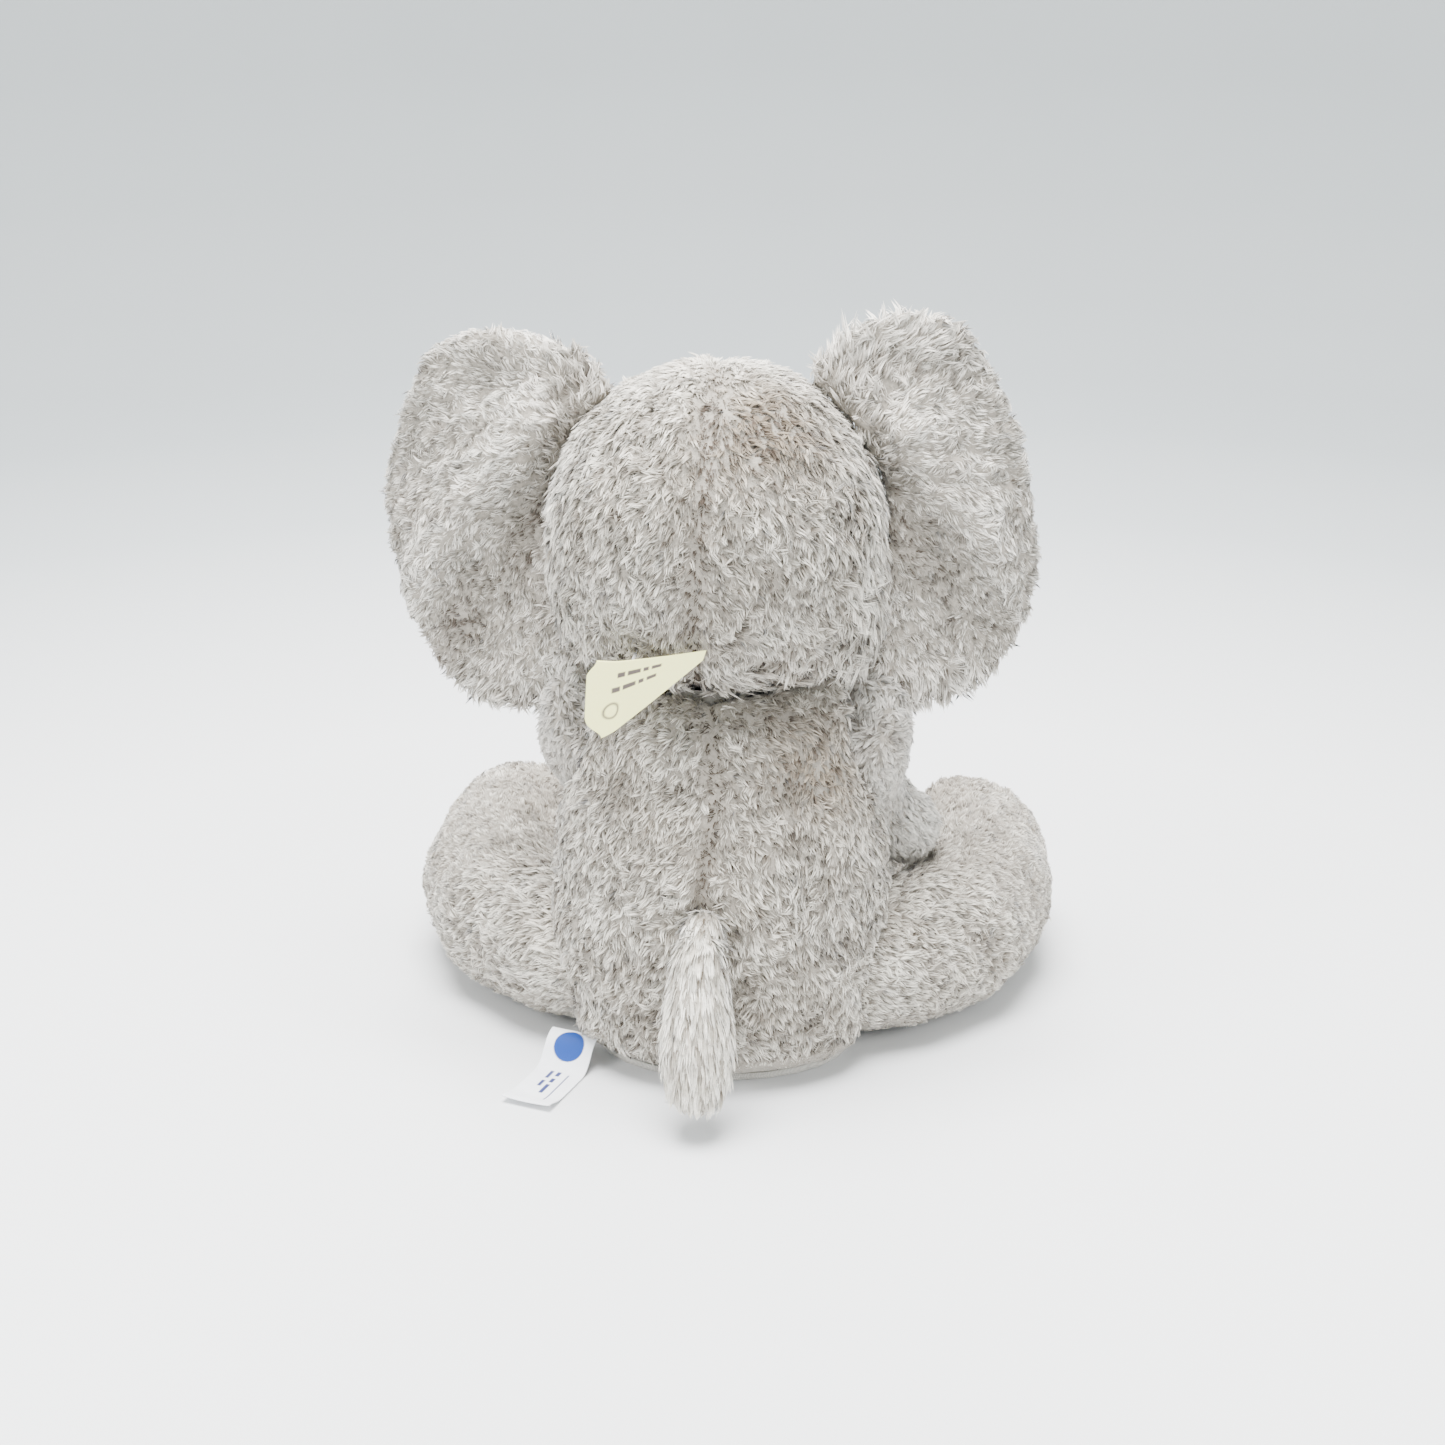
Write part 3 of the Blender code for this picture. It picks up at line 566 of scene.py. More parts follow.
class Nodes:
    """A small helper that builds one Principled material."""

    def __init__(self, name, roughness=0.9, specular=0.25, sheen=0.0, coat=0.0):
        self.material = bpy.data.materials.new(name)
        self.material.use_nodes = True
        self.tree = self.material.node_tree
        self.shader = self.tree.nodes["Principled BSDF"]
        for key, value in (("Roughness", roughness), ("Specular IOR Level", specular), ("Sheen Weight", sheen),
                           ("Sheen Roughness", 0.5), ("Coat Weight", coat)):
            self.put(self.shader.inputs[key], value)

    def put(self, socket, value):
        """Link a socket to another one, or give it a number or a colour."""
        if isinstance(value, bpy.types.NodeSocket):
            self.tree.links.new(value, socket)
        else:
            socket.default_value = (*value, 1.0) if np.ndim(value) else value

    def add(self, kind, settings=None, **values):
        node = self.tree.nodes.new(kind)
        for key, value in (settings or {}).items():
            setattr(node, key, value)
        for key, value in values.items():
            self.put(node.inputs[key], value)
        return node

    def place(self):
        return self.add("ShaderNodeTexCoord").outputs["Object"]

    def axes(self):
        return self.add("ShaderNodeSeparateXYZ", Vector=self.place()).outputs

    def noise(self, scale, detail=3.0, roughness=0.55):
        return self.add("ShaderNodeTexNoise", Vector=self.place(), Scale=scale, Detail=detail,
                        Roughness=roughness).outputs["Fac"]

    def attribute(self, name):
        return self.add("ShaderNodeAttribute", {"attribute_name": name}).outputs["Fac"]

    def ramp(self, factor, stops):
        node = self.add("ShaderNodeValToRGB", Fac=factor)
        elements = node.color_ramp.elements
        while len(elements) < len(stops):
            elements.new(0.5)
        for element, (at, colour) in zip(elements, stops):
            element.position = at
            element.color = (*colour, 1.0)
        return node.outputs["Color"]

    def mix(self, factor, a, b, blend="MIX"):
        node = self.add("ShaderNodeMix", {"data_type": "RGBA", "blend_type": blend})
        for index, value in ((0, factor), (6, a), (7, b)):
            self.put(node.inputs[index], value)
        return node.outputs[2]

    def math(self, operation, a, b=0.0):
        node = self.add("ShaderNodeMath", {"operation": operation})
        self.put(node.inputs[0], a)
        self.put(node.inputs[1], b)
        return node.outputs[0]

    def bump(self, height, distance, strength=1.0):
        node = self.add("ShaderNodeBump", Strength=strength, Distance=distance, Height=height)
        self.put(self.shader.inputs["Normal"], node.outputs["Normal"])

    def colour(self, socket):
        self.put(self.shader.inputs["Base Color"], socket)
        return self.material


def shaded(m, colour, scale, detail, low, high, dim):
    """Multiply a colour with noise that runs from a dim tint to full."""
    tint = m.ramp(m.noise(scale, *detail), ((low, dim), (high, (1, 1, 1))))
    return m.colour(m.mix(1.0, colour, tint, "MULTIPLY"))


def plush_material(name, dark, middle, light, stain_dark, stain_light, roughness=0.85, sheen=0.25):
    """Strands: darker at the root as painted shade deep in the pile, lighter at the tip as painted light, with warm
    stained patches.
    """
    m = Nodes(name, roughness, specular=0.2, sheen=sheen)
    tone = m.attribute("tone")
    colour = m.ramp(tone, ((0.0, dark), (0.45, middle), (1.0, light)))
    colour = m.mix(m.attribute("warm"), colour, m.mix(tone, stain_dark, stain_light))
    return shaded(m, colour, 900.0, (3.0, 0.7), 0.32, 0.66, (0.74, 0.73, 0.72))


def backing_material(name, dark, light):
    """Knitted ground of the plush, seen between the locks."""
    m = Nodes(name, 0.95, specular=0.15, sheen=0.2)
    fibre = m.noise(900.0, 4.0)
    m.bump(fibre, 0.6 * MM, 0.7)
    return shaded(m, m.mix(fibre, dark, light), 60.0, (), 0.3, 0.7, (0.82, 0.81, 0.8))


def woven_material(name, dark, light, pitch, rise=0.15):
    """Two sets of crossing yarns, pitch apart."""
    m = Nodes(name, 0.85, specular=0.25, sheen=0.15)
    place = m.axes()
    yarn = [m.math("SINE", m.math("MULTIPLY", place[axis], math.tau / pitch)) for axis in ("X", "Y")]
    height = m.math("ADD", m.math("MULTIPLY", m.math("MULTIPLY", *yarn), 0.5), 0.5)
    m.bump(height, rise * MM, 0.8)
    return shaded(m, m.mix(height, dark, light), 180.0, (4.0,), 0.3, 0.7, (0.88, 0.87, 0.85))


def plastic_material(name, shade, roughness):
    m = Nodes(name, roughness, specular=0.5)
    m.bump(m.noise(700.0, 2.0), 0.05 * MM, 0.25)
    return m.colour(m.mix(m.noise(250.0, 3.0), tuple(c * 0.8 for c in shade), shade))


plush = plush_material("plush_grey", (0.075, 0.06, 0.046), (0.305, 0.275, 0.23), (0.93, 0.885, 0.785),
                       (0.075, 0.052, 0.036), (0.42, 0.345, 0.255))
plush_pale = plush_material("plush_pale", (0.085, 0.07, 0.055), (0.335, 0.31, 0.265), (0.95, 0.91, 0.83),
                            (0.15, 0.11, 0.085), (0.56, 0.47, 0.39))
plush_cream = plush_material("plush_cream", (0.10, 0.08, 0.055), (0.58, 0.54, 0.455), (0.98, 0.95, 0.86),
                             (0.16, 0.12, 0.09), (0.62, 0.54, 0.44))
pile_short = plush_material("pile_short", (0.17, 0.155, 0.135), (0.43, 0.405, 0.36), (0.72, 0.69, 0.63),
                            (0.19, 0.15, 0.12), (0.46, 0.39, 0.33), 0.8, 0.3)
velour_lining = plush_material("velour_lining", (0.22, 0.19, 0.17), (0.43, 0.375, 0.34), (0.66, 0.60, 0.55),
                               (0.23, 0.17, 0.15), (0.48, 0.41, 0.36), 0.8, 0.35)
velour_sole = plush_material("velour_sole", (0.25, 0.22, 0.20), (0.46, 0.415, 0.375), (0.68, 0.63, 0.58),
                             (0.23, 0.18, 0.16), (0.48, 0.42, 0.38), 0.8, 0.35)
# The backings are darker than the locks on them: painted shade deep in the pile between the locks
backing = backing_material("plush_backing", (0.21, 0.19, 0.16), (0.46, 0.42, 0.36))
backing_lining = backing_material("lining_backing", (0.30, 0.255, 0.23), (0.44, 0.39, 0.355))


# ---------- padded shapes

def dressed(obj, body, material):
    obj.data.materials.clear()
    obj.data.materials.append(material)
    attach(obj, body)
    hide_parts(*STANDS_FOR[obj.name])


def mirrored(line, sign):
    return polyline([(x * sign, y, z) for x, y, z in line])


def middle_of(node):
    low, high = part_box(node)
    return np.array((low + high) / 2)


def plug(name, node, low, high):
    """A solid oval that fills the pocket over the seat panel."""
    a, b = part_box(node)
    bm = bmesh.new()
    bmesh.ops.create_cone(bm, cap_ends=True, segments=48, radius1=1.0, radius2=1.0, depth=1.0)
    for vert in bm.verts:
        vert.co.x = (a.x + b.x) / 2 + vert.co.x * (b.x - a.x) * 0.52
        vert.co.y = (a.y + b.y) / 2 + vert.co.y * (b.y - a.y) * 0.52
        vert.co.z = low if vert.co.z < 0 else high
    return mesh_of(bm, name)


INSET = -0.6 * MM
BODY_VOXEL, LIMB_VOXEL = 3.4 * MM, 2.6 * MM


def stuffed_shape(body, voxel, more=(), extra=()):
    return soft_shape(f"{body}_padding", (f"{body}_skin", f"{body}_stuffing", *more), voxel, INSET, extra=extra)


torso = stuffed_shape("torso", BODY_VOXEL, ("seat_pellet_pouch",),
                      (plug("seat_plug", "base_panel", 3.2 * MM, 14.0 * MM),))
head = stuffed_shape("head", BODY_VOXEL)
trunk = stuffed_shape("trunk", LIMB_VOXEL)
tail = soft_shape("tail_padding", ("tail_skin",), 2.2 * MM, -2.0 * MM)
trunk_line, tail_line = polyline(TRUNK_LINE), polyline(TAIL_LINE)
seams = {torso: torso_seams, head: head_seams, trunk: limb_seams(trunk_line, np.array([0.0, 1.0, -0.6]))}
legs, arms, ears, linings, leg_lines, arm_lines = {}, {}, {}, {}, {}, {}
for side, sign in SIDES:
    leg_lines[side] = mirrored(LEG_LINE, sign)
    arm_lines[side] = mirrored(ARM_LINES[side], sign)
    legs[side] = stuffed_shape(f"leg_{side}", BODY_VOXEL)
    arms[side] = stuffed_shape(f"arm_{side}", LIMB_VOXEL)
    ears[side] = soft_shape(f"ear_{side}_back_padding", (f"ear_{side}_back",), 1.9 * MM, -0.3 * MM, 2)
    linings[side] = soft_shape(f"ear_{side}_lining_padding", (f"ear_{side}_lining",), 1.3 * MM, 0.2 * MM, 2)
    seams[legs[side]] = limb_seams(leg_lines[side], unit((-0.3 * sign, 0.5, 0.45)))
    seams[arms[side]] = limb_seams(arm_lines[side], unit((-1.0 * sign, 0.3, 0.0)))

limbs = [*legs.values(), *arms.values()]
stuffed = [torso, head, trunk, *limbs]
hold = []
for obj in stuffed:
    co = co_of(obj.data)
    hold.append((obj, np.maximum(near(seams[obj](co), 3), 1.0 - over(co[:, 2], 3.5, 7.0))))
puff(hold)
for number, obj in enumerate(stuffed):
    subdivide(obj)
    ripple(obj, 400 + 10 * number)
    groove(obj, seams[obj], 1.7, 2.4)
for obj in (tail, *ears.values()):
    subdivide(obj)

# Hips, shoulders and the ears' corners are fuller than the pieces inside them: place, radius and push.
# The right ear lies closer to the head, and the right hip is flatter.
FULLER = {
    "left": dict(hip=5.0, seat=3.0, shoulder=5.0, cheek=6.5, corner=((55, -9, 126), 16, (-9.0, 8.0, -1.0)),
                 outer=2.6, lumps=520),
    "right": dict(hip=2.5, seat=0.5, shoulder=16.0, cheek=9.5, corner=((-65, -12, 126), 18, (20.0, 9.0, -7.0)),
                  outer=0.8, lumps=540)}
bulge(tail, (2.5, 68, 6), 4.5, (0.0, -1.0, 5.0))
groove(torso, pocket_slit, 4.0, 1.8)
for side, sign in SIDES:
    more = FULLER[side]
    bulge(legs[side], (60 * sign, 4, 36), 17, more["hip"])
    bulge(torso, (50 * sign, 14, 40), 18, more["seat"])
    bulge(torso, (44 * sign, 2, 120), 16, (3.0 * sign, 2.0, 6.0))
    bulge(arms[side], (46 * sign, -4, 118), 15, (3.0 * sign, 2.0, 9.0))
    bulge(head, (2 + 38 * sign, 4, 147), 19, more["cheek"])
    bulge(torso, (42 * sign, 3, 129), 13, (1.5 * sign, 1.0, more["shoulder"]))
    corner, reach, way = more["corner"]
    bulge(ears[side], corner, reach, way)
    bulge(linings[side], corner, reach, 0.4 * np.array(way))
    fold_ear(ears[side], sign)
    for layer in (ears[side], linings[side]):
        bulge(layer, (100 * sign, -12, 178), 30, (more["outer"], 0.0, 0.8))
    ripple(ears[side], more["lumps"], 9.0, 0.7)

dressed(torso, "torso", backing)
dressed(head, "head", backing)
dressed(trunk, "trunk", backing)
dressed(tail, "tail", backing)
for side, _ in SIDES:
    dressed(legs[side], f"leg_{side}", backing)
    dressed(arms[side], f"arm_{side}", backing)
    dressed(ears[side], f"ear_{side}", backing)
    dressed(linings[side], f"ear_{side}", backing_lining)


# ---------- locks

def mostly_behind(points, normals):
    """More locks where the back shows, fewer underneath."""
    turn = normals @ unit((-0.09, 0.94, 0.34))
    return (0.8 + (1 - 0.8) * smooth(turn, -0.35, 0.25)) * (0.35 + 0.65 * smooth(normals[:, 2], -0.95, -0.5))


def back_side(points, normals):
    return 0.25 + 0.75 * smooth(normals[:, 1], -0.35, 0.1)


def front_side(points, normals):
    return 0.05 + 0.95 * smooth(-normals[:, 1], 0.0, 0.3)


def parted(p, seam, spread):
    """Downward, and away from a seam on both sides of it."""
    way = np.tile(DOWN, (len(p), 1))
    way[:, 0] += np.sign(p[:, 0] - seam_x(seam, p[:, 2])) * spread
    return way


def torso_flow(p, n):
    way = parted(p, SPINE, 0.25 + 0.35 * (np.abs(p[:, 0]) < 25 * MM))
    whirl = spot(p, (-36, 40, 103), 13)[:, None]
    around = np.cross(n, p - mm(-36, 40, 103))
    return way * (1 - whirl) + unit(around) * whirl * 1.3


def torso_length(p, n):
    x, y, z = p.T
    seam = 0.62 + 0.38 * over(torso_seams(p), 0.5, 5.0)
    band = np.where((x < -3 * MM) & (y > 0), 0.30 + 0.70 * over(z, 12, 15), 1.0)
    under = 0.25 + 0.75 * smooth(n[:, 2], -0.9, -0.4)
    slit = (y > 0) * over(x, 8, 14) * (1 - over(z, 8, 12))
    return seam * band * under * (1 - 0.75 * slit)


def torso_colour(p):
    x, y, z = p.T
    seam = near(torso_seams(p), 2.0) * (y > 0) * (np.abs(x) < 20 * MM)
    # Painted shade in and below the pocket slit
    slit = (y > 0) * over(x, 8, 14) * (1 - over(z, 6, 10))
    edge = (y > 0) * (x < -3 * MM) * near(z - 13.5 * MM, 1.3)
    # Painted shade along the pocket slit, in and below it, and under the head at the top of the torso; besides a
    # brown stain on the back and a darker back seam
    tone = (-0.22 * spot(p, (-32, 33, 117), 16) + 0.10 * spot(p, (20, 44, 70), 25) - 0.75 * seam
            - near(pocket_slit(p), 2.2) - 0.30 * over(z, 128, 140) - 0.9 * slit - 0.55 * edge)
    return tone, 0.85 * spot(p, (-32, 33, 117), 17) + 0.50 * spot(p, (-40, 30, 102), 14) + 0.4 * seam


def head_flow(p, n):
    way = parted(p, HEAD_BACK, 0.40)
    top = spot(p, (2, -2, 228), 22)[:, None]
    out = unit((p - HEAD_C) * np.array([1.0, 1.0, 0.0]))
    return way * (1 - 0.8 * top) + out * top


def head_length(p, n):
    x, y, z = p.T
    seam = 0.65 + 0.35 * over(head_seams(p), 0.5, 5.0)
    neck = 1.0 + 0.9 * (1 - over(z, 134, 152)) * over(y, -20, 5)
    side = 1.0 + 0.5 * over(np.abs(x - HEAD_C[0]), 36, 46) + 0.9 * spot(p, (-40, 2, 143), 13)
    face = 1.0 - 0.22 * over(-y, 25, 42)
    eyes = np.minimum(*(np.linalg.norm(p - middle_of(f"eye_{side_name}"), axis=1) for side_name, _ in SIDES))
    return seam * face * (0.30 + 0.70 * over(eyes, 7, 16)) * neck * side


def head_colour(p):
    patch = np.maximum(spot(p, (-17, 29, 217), 19), 0.6 * spot(p, (-6, 36, 208), 14))
    # Lighter round the top of the head
    lighter_crown = spot(p, (1, -2, 229), 22)
    notch = spot(p, (6, 40, 142), 8)
    seam = near(head_seams(p), 2.0) * (p[:, 1] > 0)
    # Painted shade under the head, round the neck
    neck = 1 - over(p[:, 2], 127, 142)
    return -0.36 * patch + 0.50 * lighter_crown + 0.24 * notch - 0.75 * seam - 0.30 * neck, patch + 0.4 * seam


def three_parts(seam, front):
    """Left, right and front of a shape, as 0, 1 and 2."""
    return lambda p: np.where(p[:, 1] < front, 2, (p[:, 0] < seam_x(seam, p[:, 2])).astype(int))


def limb_flow(line, sag):
    return lambda p, n: along(line, p)[0] + DOWN * sag


def leg_flow(line, sign):
    def way(p, n):
        direction, share = along(line, p)
        out = np.tile(np.array([0.8 * sign, 0.15, -0.3]), (len(p), 1))
        return out * (1 - 0.55 * share[:, None]) + direction * (0.4 + 0.6 * share[:, None])
    return way


def leg_length(line):
    end_way = unit(line[-1] - line[-2])

    def value(p, n):
        rim = smooth(n @ end_way, 0.55, 0.9)
        shank = 1.0 - 0.35 * smooth(along(line, p)[1], 0.30, 0.50)
        under = 0.35 + 0.65 * smooth(n[:, 2], -0.85, -0.3)
        return (1.0 - 0.35 * rim) * under * shank
    return value


def leg_colour(sign):
    def value(p):
        top = spot(p, (70 * sign, -88, 52), 20)
        return 0.06 + 0.16 * spot(p, (55 * sign, 12, 30), 18) - 0.14 * top, 0.25 * top
    return value


def paw_colour(line):
    return lambda p: (0.25 * smooth(along(line, p)[1], 0.7, 0.95), 0.0)


def ear_rim(n):
    """1 on the rolled rim of an ear, 0 on its flat back."""
    return 1 - smooth(np.abs(n[:, 1]), 0.35, 0.85)


def ear_flow(sign):
    def way(p, n):
        out = p - (HEAD_C + np.array([36 * MM * sign, -6 * MM, 8 * MM]))
        out[:, 1] *= 0.3
        rim = ear_rim(n)[:, None]
        return unit(out) * (1 - 0.75 * rim) + DOWN * (0.35 + 0.65 * rim)
    return way


def ear_length(side, sign):
    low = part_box(f"ear_{side}_back")[0].z / MM

    def value(p, n):
        top = 0.35 * over(p[:, 2], 215, 232) * (sign < 0)
        hem = 0.7 * (1 - over(p[:, 2], low + 4, low + 16))
        root = 0.6 * (1 - over(np.abs(p[:, 0] - HEAD_C[0]), 46, 58))
        return (0.85 + top + hem + root) * (1 - 0.25 * ear_rim(n))
    return value


def ear_colour(sign):
    def value(p):
        # Painted highlight on the ridge across the ear's back and on its top rim, painted shade in the hollow beside
        # the ridge, on the back of the ear only
        ridge, hollow = ear_relief(p, sign)
        tone = 0.08 + 0.24 * ridge - 0.36 * hollow + 0.20 * over(p[:, 2], 222, 234)
        return tone * over(p[:, 1], -18, -10), 0.08 * hollow
    return value


STAPLE = dict(step=1.8, group=4, gather=0.4, length=3.9, lift=(40, -3), width=0.33, wander=0.75, tilt=0.26, fade=0.8)
FUZZ = dict(step=1.35, length=2.9, lift=(40, 6), width=0.12, wander=1.0, pale=0.06, fade=0.4)
PAW_PILE = ({"step": 1.35, "length": 3.4, "width": 0.46, "lift": (34, 2)}, {"step": 1.3, "length": 3.6})
TRUNK_PILE = ({"length": 4.0}, {"length": 4.0})
EAR_PILE = ({"lift": (32, -3)}, {"lift": (32, 4)})


def plant(host, material, layers, names, parts=None):
    """Pieces of plush on a padded shape; each layer is a set of options for strands_on."""
    locks = merged([strands_on(host, **layer) for layer in layers])
    labels = parts(locks["root"]) if parts else np.zeros(len(locks["root"]), int)
    made = []
    for k, piece in enumerate(names):
        mine = labels == k
        obj = new_object(piece, strand_mesh(piece, {key: value[mine] for key, value in locks.items()}))
        obj.data.materials.append(material)
        made.append(obj)
    return made


def cover(body, slot, *args):
    for obj in plant(*args):
        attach(obj, body)


def two_layers(seed, pile=({}, {}), **shared):
    return [{**STAPLE, "seed": seed, **shared, **pile[0]}, {**FUZZ, "seed": seed + 1, **shared, **pile[1]}]


cover("torso", "plush", torso, plush,
      two_layers(11, flow=torso_flow, shape=torso_length, colour=torso_colour, density=mostly_behind,
                 avoid=[head, *limbs]),
      ("torso_fur_back_left", "torso_fur_back_right", "torso_fur_belly"), three_parts(SPINE, -6 * MM))
cover("head", "plush", head, plush,
      two_layers(23, flow=head_flow, shape=head_length, colour=head_colour, density=mostly_behind,
                 avoid=[torso, trunk]),
      ("head_fur_back_left", "head_fur_back_right", "head_fur_face"), three_parts(HEAD_BACK, HEAD_C[1] - 8 * MM))
cover("trunk", "plush", trunk, plush,
      two_layers(37, TRUNK_PILE, flow=limb_flow(trunk_line, 0.1), avoid=[head]), ("trunk_fur",))
for (side, sign), seed in zip(SIDES, (50, 70)):
    line = leg_lines[side]
    cover(f"leg_{side}", "plush", legs[side], plush,
          two_layers(seed, flow=leg_flow(line, sign), shape=leg_length(line), colour=leg_colour(sign),
                     density=mostly_behind, avoid=[torso]), (f"leg_{side}_fur",))
    line = arm_lines[side]
    cover(f"arm_{side}", "plush_short", arms[side], pile_short,
          two_layers(seed + 300, PAW_PILE, flow=limb_flow(line, 0.3), wander=0.6, colour=paw_colour(line),
                     avoid=[torso]), (f"arm_{side}_pile",))
for (side, sign), seed in zip(SIDES, (90, 110)):
    cover(f"ear_{side}", "plush_light", ears[side], plush_pale,
          two_layers(seed, EAR_PILE, flow=ear_flow(sign), shape=ear_length(side, sign), colour=ear_colour(sign),
                     density=back_side, avoid=[head]), (f"ear_{side}_fur",))
    cover(f"ear_{side}", "ear_lining", linings[side], velour_lining,
          [dict(seed=seed + 300, flow=ear_flow(sign), step=1.25, length=1.9, lift=(55, 15), width=0.4, curl=0.05,
                wander=0.25, density=front_side, avoid=[head])], (f"ear_{side}_velour",))


# ---------- tail

def closed_tube(bm, loops):
    bm.faces.new(loops[0][::-1])
    bm.faces.new(loops[-1])
    bmesh.ops.recalc_face_normals(bm, faces=bm.faces)


def tube(name, line, radii):
    """A closed tube along a line."""
    way = unit(np.gradient(line, axis=0))
    side = unit(np.cross(way, np.array([1.0, 0.02, 0.03])))
    rings = line[:, None] + circle(16, side, np.cross(way, side)) * radii[:, None, None]
    mesh = ring_mesh(name, rings, closed_tube)
    mesh.shade_smooth()
    return mesh


sleeve_line = tail_line[:9]
sleeve = new_object("tail_sleeve", tube("tail_sleeve", sleeve_line, np.linspace(5.4, 6.0, len(sleeve_line)) * MM))
sleeve.data.materials.append(backing)


def tail_colour(p):
    """Painted shade in long grooves that run down the tail from its root, and in a dent at the tip."""
    index = nearest(tail_line, p)
    offset, share = p - tail_line[index], index / (len(tail_line) - 1)
    turn = np.arctan2(offset[:, 0], offset[:, 1]) + 0.16 * np.sin(9 * share) + 0.10 * waves(601, 14 * MM, p)
    grooves = 1 - smooth(np.abs(np.sin(4.5 * turn + 0.4)), 0.0, 0.42)
    dent = spot(p, (3.5, 70, 16), 5)
    return 0.14 - 0.72 * grooves * (1.15 - 0.6 * share) - 0.65 * dent, 0.15 * grooves + 0.3 * dent


TAIL_LOCKS = dict(step=1.9, length=6.5, lift=(9, -6), width=0.30, curl=0.05, wander=0.10, knots=(0.0, 0.34, 0.67),
                  group=5, gather=0.4, fade=0.7, pale=0.12, colour=tail_colour)
TAIL_FUZZ = {**TAIL_LOCKS, "step": 1.6, "length": 3.6, "width": 0.12, "lift": (18, 0), "pale": 0.2, "group": 1}


def tail_layers(seed, sag):
    flow = limb_flow(tail_line, sag)
    return [{**TAIL_LOCKS, "seed": seed, "flow": flow}, {**TAIL_FUZZ, "seed": seed + 1, "flow": flow}]


for obj in (sleeve, *plant(sleeve, plush_cream, tail_layers(131, 0.2), ("tail_sleeve_fur",))):
    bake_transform(obj)
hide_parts("tail_tab")
cover("tail", "plush_light", tail, plush_cream, tail_layers(133, 0.25), ("tail_fur",))


# ---------- trim

def grid_sheet(name, place, across, down, thickness, values):
    """A thin closed sheet over a grid; place maps (u, v) arrays to points."""
    u, v = np.meshgrid(np.linspace(0, 1, across + 1), np.linspace(0, 1, down + 1))
    u, v = u.ravel(), v.ravel()
    middle = place(u, v)
    step = 1e-3
    normal = unit(np.cross(place(u + step, v) - place(u - step, v), place(u, v + step) - place(u, v - step)))
    co = np.vstack([middle + normal * thickness / 2, middle - normal * thickness / 2])
    size = len(u)
    ids = np.arange(size).reshape(down + 1, across + 1)
    quads = np.stack([ids[:-1, :-1], ids[:-1, 1:], ids[1:, 1:], ids[1:, :-1]], -1).reshape(-1, 4)
    loop = np.concatenate([ids[0, :-1], ids[:-1, -1], ids[-1, :0:-1], ids[:0:-1, 0]])
    after = np.roll(loop, -1)
    rim = np.stack([after, loop, loop + size, after + size], 1)
    faces = np.vstack([quads, quads[:, ::-1] + size, rim])
    found = [(key, np.concatenate([value, np.zeros(size)])) for key, value in values(u, v)]
    return new_object(name, mesh_from(name, co, faces, None, found))


SOFT_EDGE = 0.004


def between(x, low, high):
    return smooth(x, low - SOFT_EDGE, low + SOFT_EDGE) * (1 - smooth(x, high - SOFT_EDGE, high + SOFT_EDGE))


def bar(u, v, u0, u1, v0, v1):
    """1 inside a box, 0 outside, with a soft edge."""
    return between(u, u0, u1) * between(v, v0, v1)


# Hang card: its right end is tucked under the head, and its left end curls over the shoulder
CARD_TOP = (mm(0.5, 44.9, 151.0), mm(33.0, 45.0, 146.0))
CARD_LOW = (mm(1.5, 44.9, 148.0), mm(35.0, 43.4, 118.5))


def card_place(u, v):
    u, v = (u * (1 - 0.10 * smooth(v, 0.62, 1.0) ** 2 - 0.05 * (1 - smooth(v, 0.0, 0.2))))[:, None], v[:, None]
    point = (CARD_TOP[0] * (1 - u) + CARD_TOP[1] * u) * (1 - v) + (CARD_LOW[0] * (1 - u) + CARD_LOW[1] * u) * v
    curl = np.maximum(u - 0.78, 0.0) / 0.22
    point = point + mm(3.5, -3.0, 0.0) * curl ** 2
    return point + mm(0.0, 1.1, 0.0) * np.sin(math.pi * u)


def card_ink(u, v):
    ink = np.zeros_like(u)
    for row, (v0, v1) in enumerate(((0.16, 0.24), (0.36, 0.44))):
        start = 0.40 + 0.04 * row
        for width in (0.09, 0.05, 0.12, 0.07):
            ink = np.maximum(ink, bar(u, v, start, start + width, v0, v1))
            start += width + 0.025
    ring = np.hypot((u - 0.84) / 0.055, (v - 0.68) / 0.10)
    ink = np.maximum(ink, np.exp(-((ring - 1.0) / 0.16) ** 2))
    return (("ink", ink),)


card = grid_sheet("paper_card", card_place, 130, 70, 0.5 * MM, card_ink)
m = Nodes("card_stock", 0.62, specular=0.3)
paper = m.mix(m.noise(800.0, 5.0), (0.97, 0.94, 0.36), (1.0, 0.98, 0.46))
m.bump(m.noise(1500.0, 4.0), 0.04 * MM, 0.4)
card.data.materials.append(m.colour(m.mix(m.attribute("ink"), paper, (0.10, 0.08, 0.07))))
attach(card, "card")
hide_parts("hang_card")

# Satin label, sewn in at the seat seam and lying on the ground
LABEL_WAY = unit((0.30, 0.95, 0.0))
LABEL_SIDE = np.array([LABEL_WAY[1], -LABEL_WAY[0], 0.0])
LABEL_ROOT = mm(46.4, 20.0, 9.5)
LABEL_L, LABEL_W, LABEL_T = 40.0 * MM, 17.0 * MM, 0.36 * MM
RIBS = 9000                     # phase of the satin's ribs, in radians a metre


# Height of the label along its length: down from the seam, then flat with a slight curl
LABEL_SHARE = np.linspace(0, 1, 81)
LABEL_HEIGHT = 0.55 * MM + (LABEL_ROOT[2] - 0.55 * MM) * (1 - smooth(LABEL_SHARE, 0.0, 0.42))
LABEL_HEIGHT += 1.6 * MM * smooth(LABEL_SHARE, 0.72, 1.0) ** 2
LABEL_STEPS = np.sqrt(np.maximum((LABEL_L / 80) ** 2 - np.diff(LABEL_HEIGHT) ** 2, 0))
LABEL_RUN = np.concatenate([[0], np.cumsum(LABEL_STEPS)])


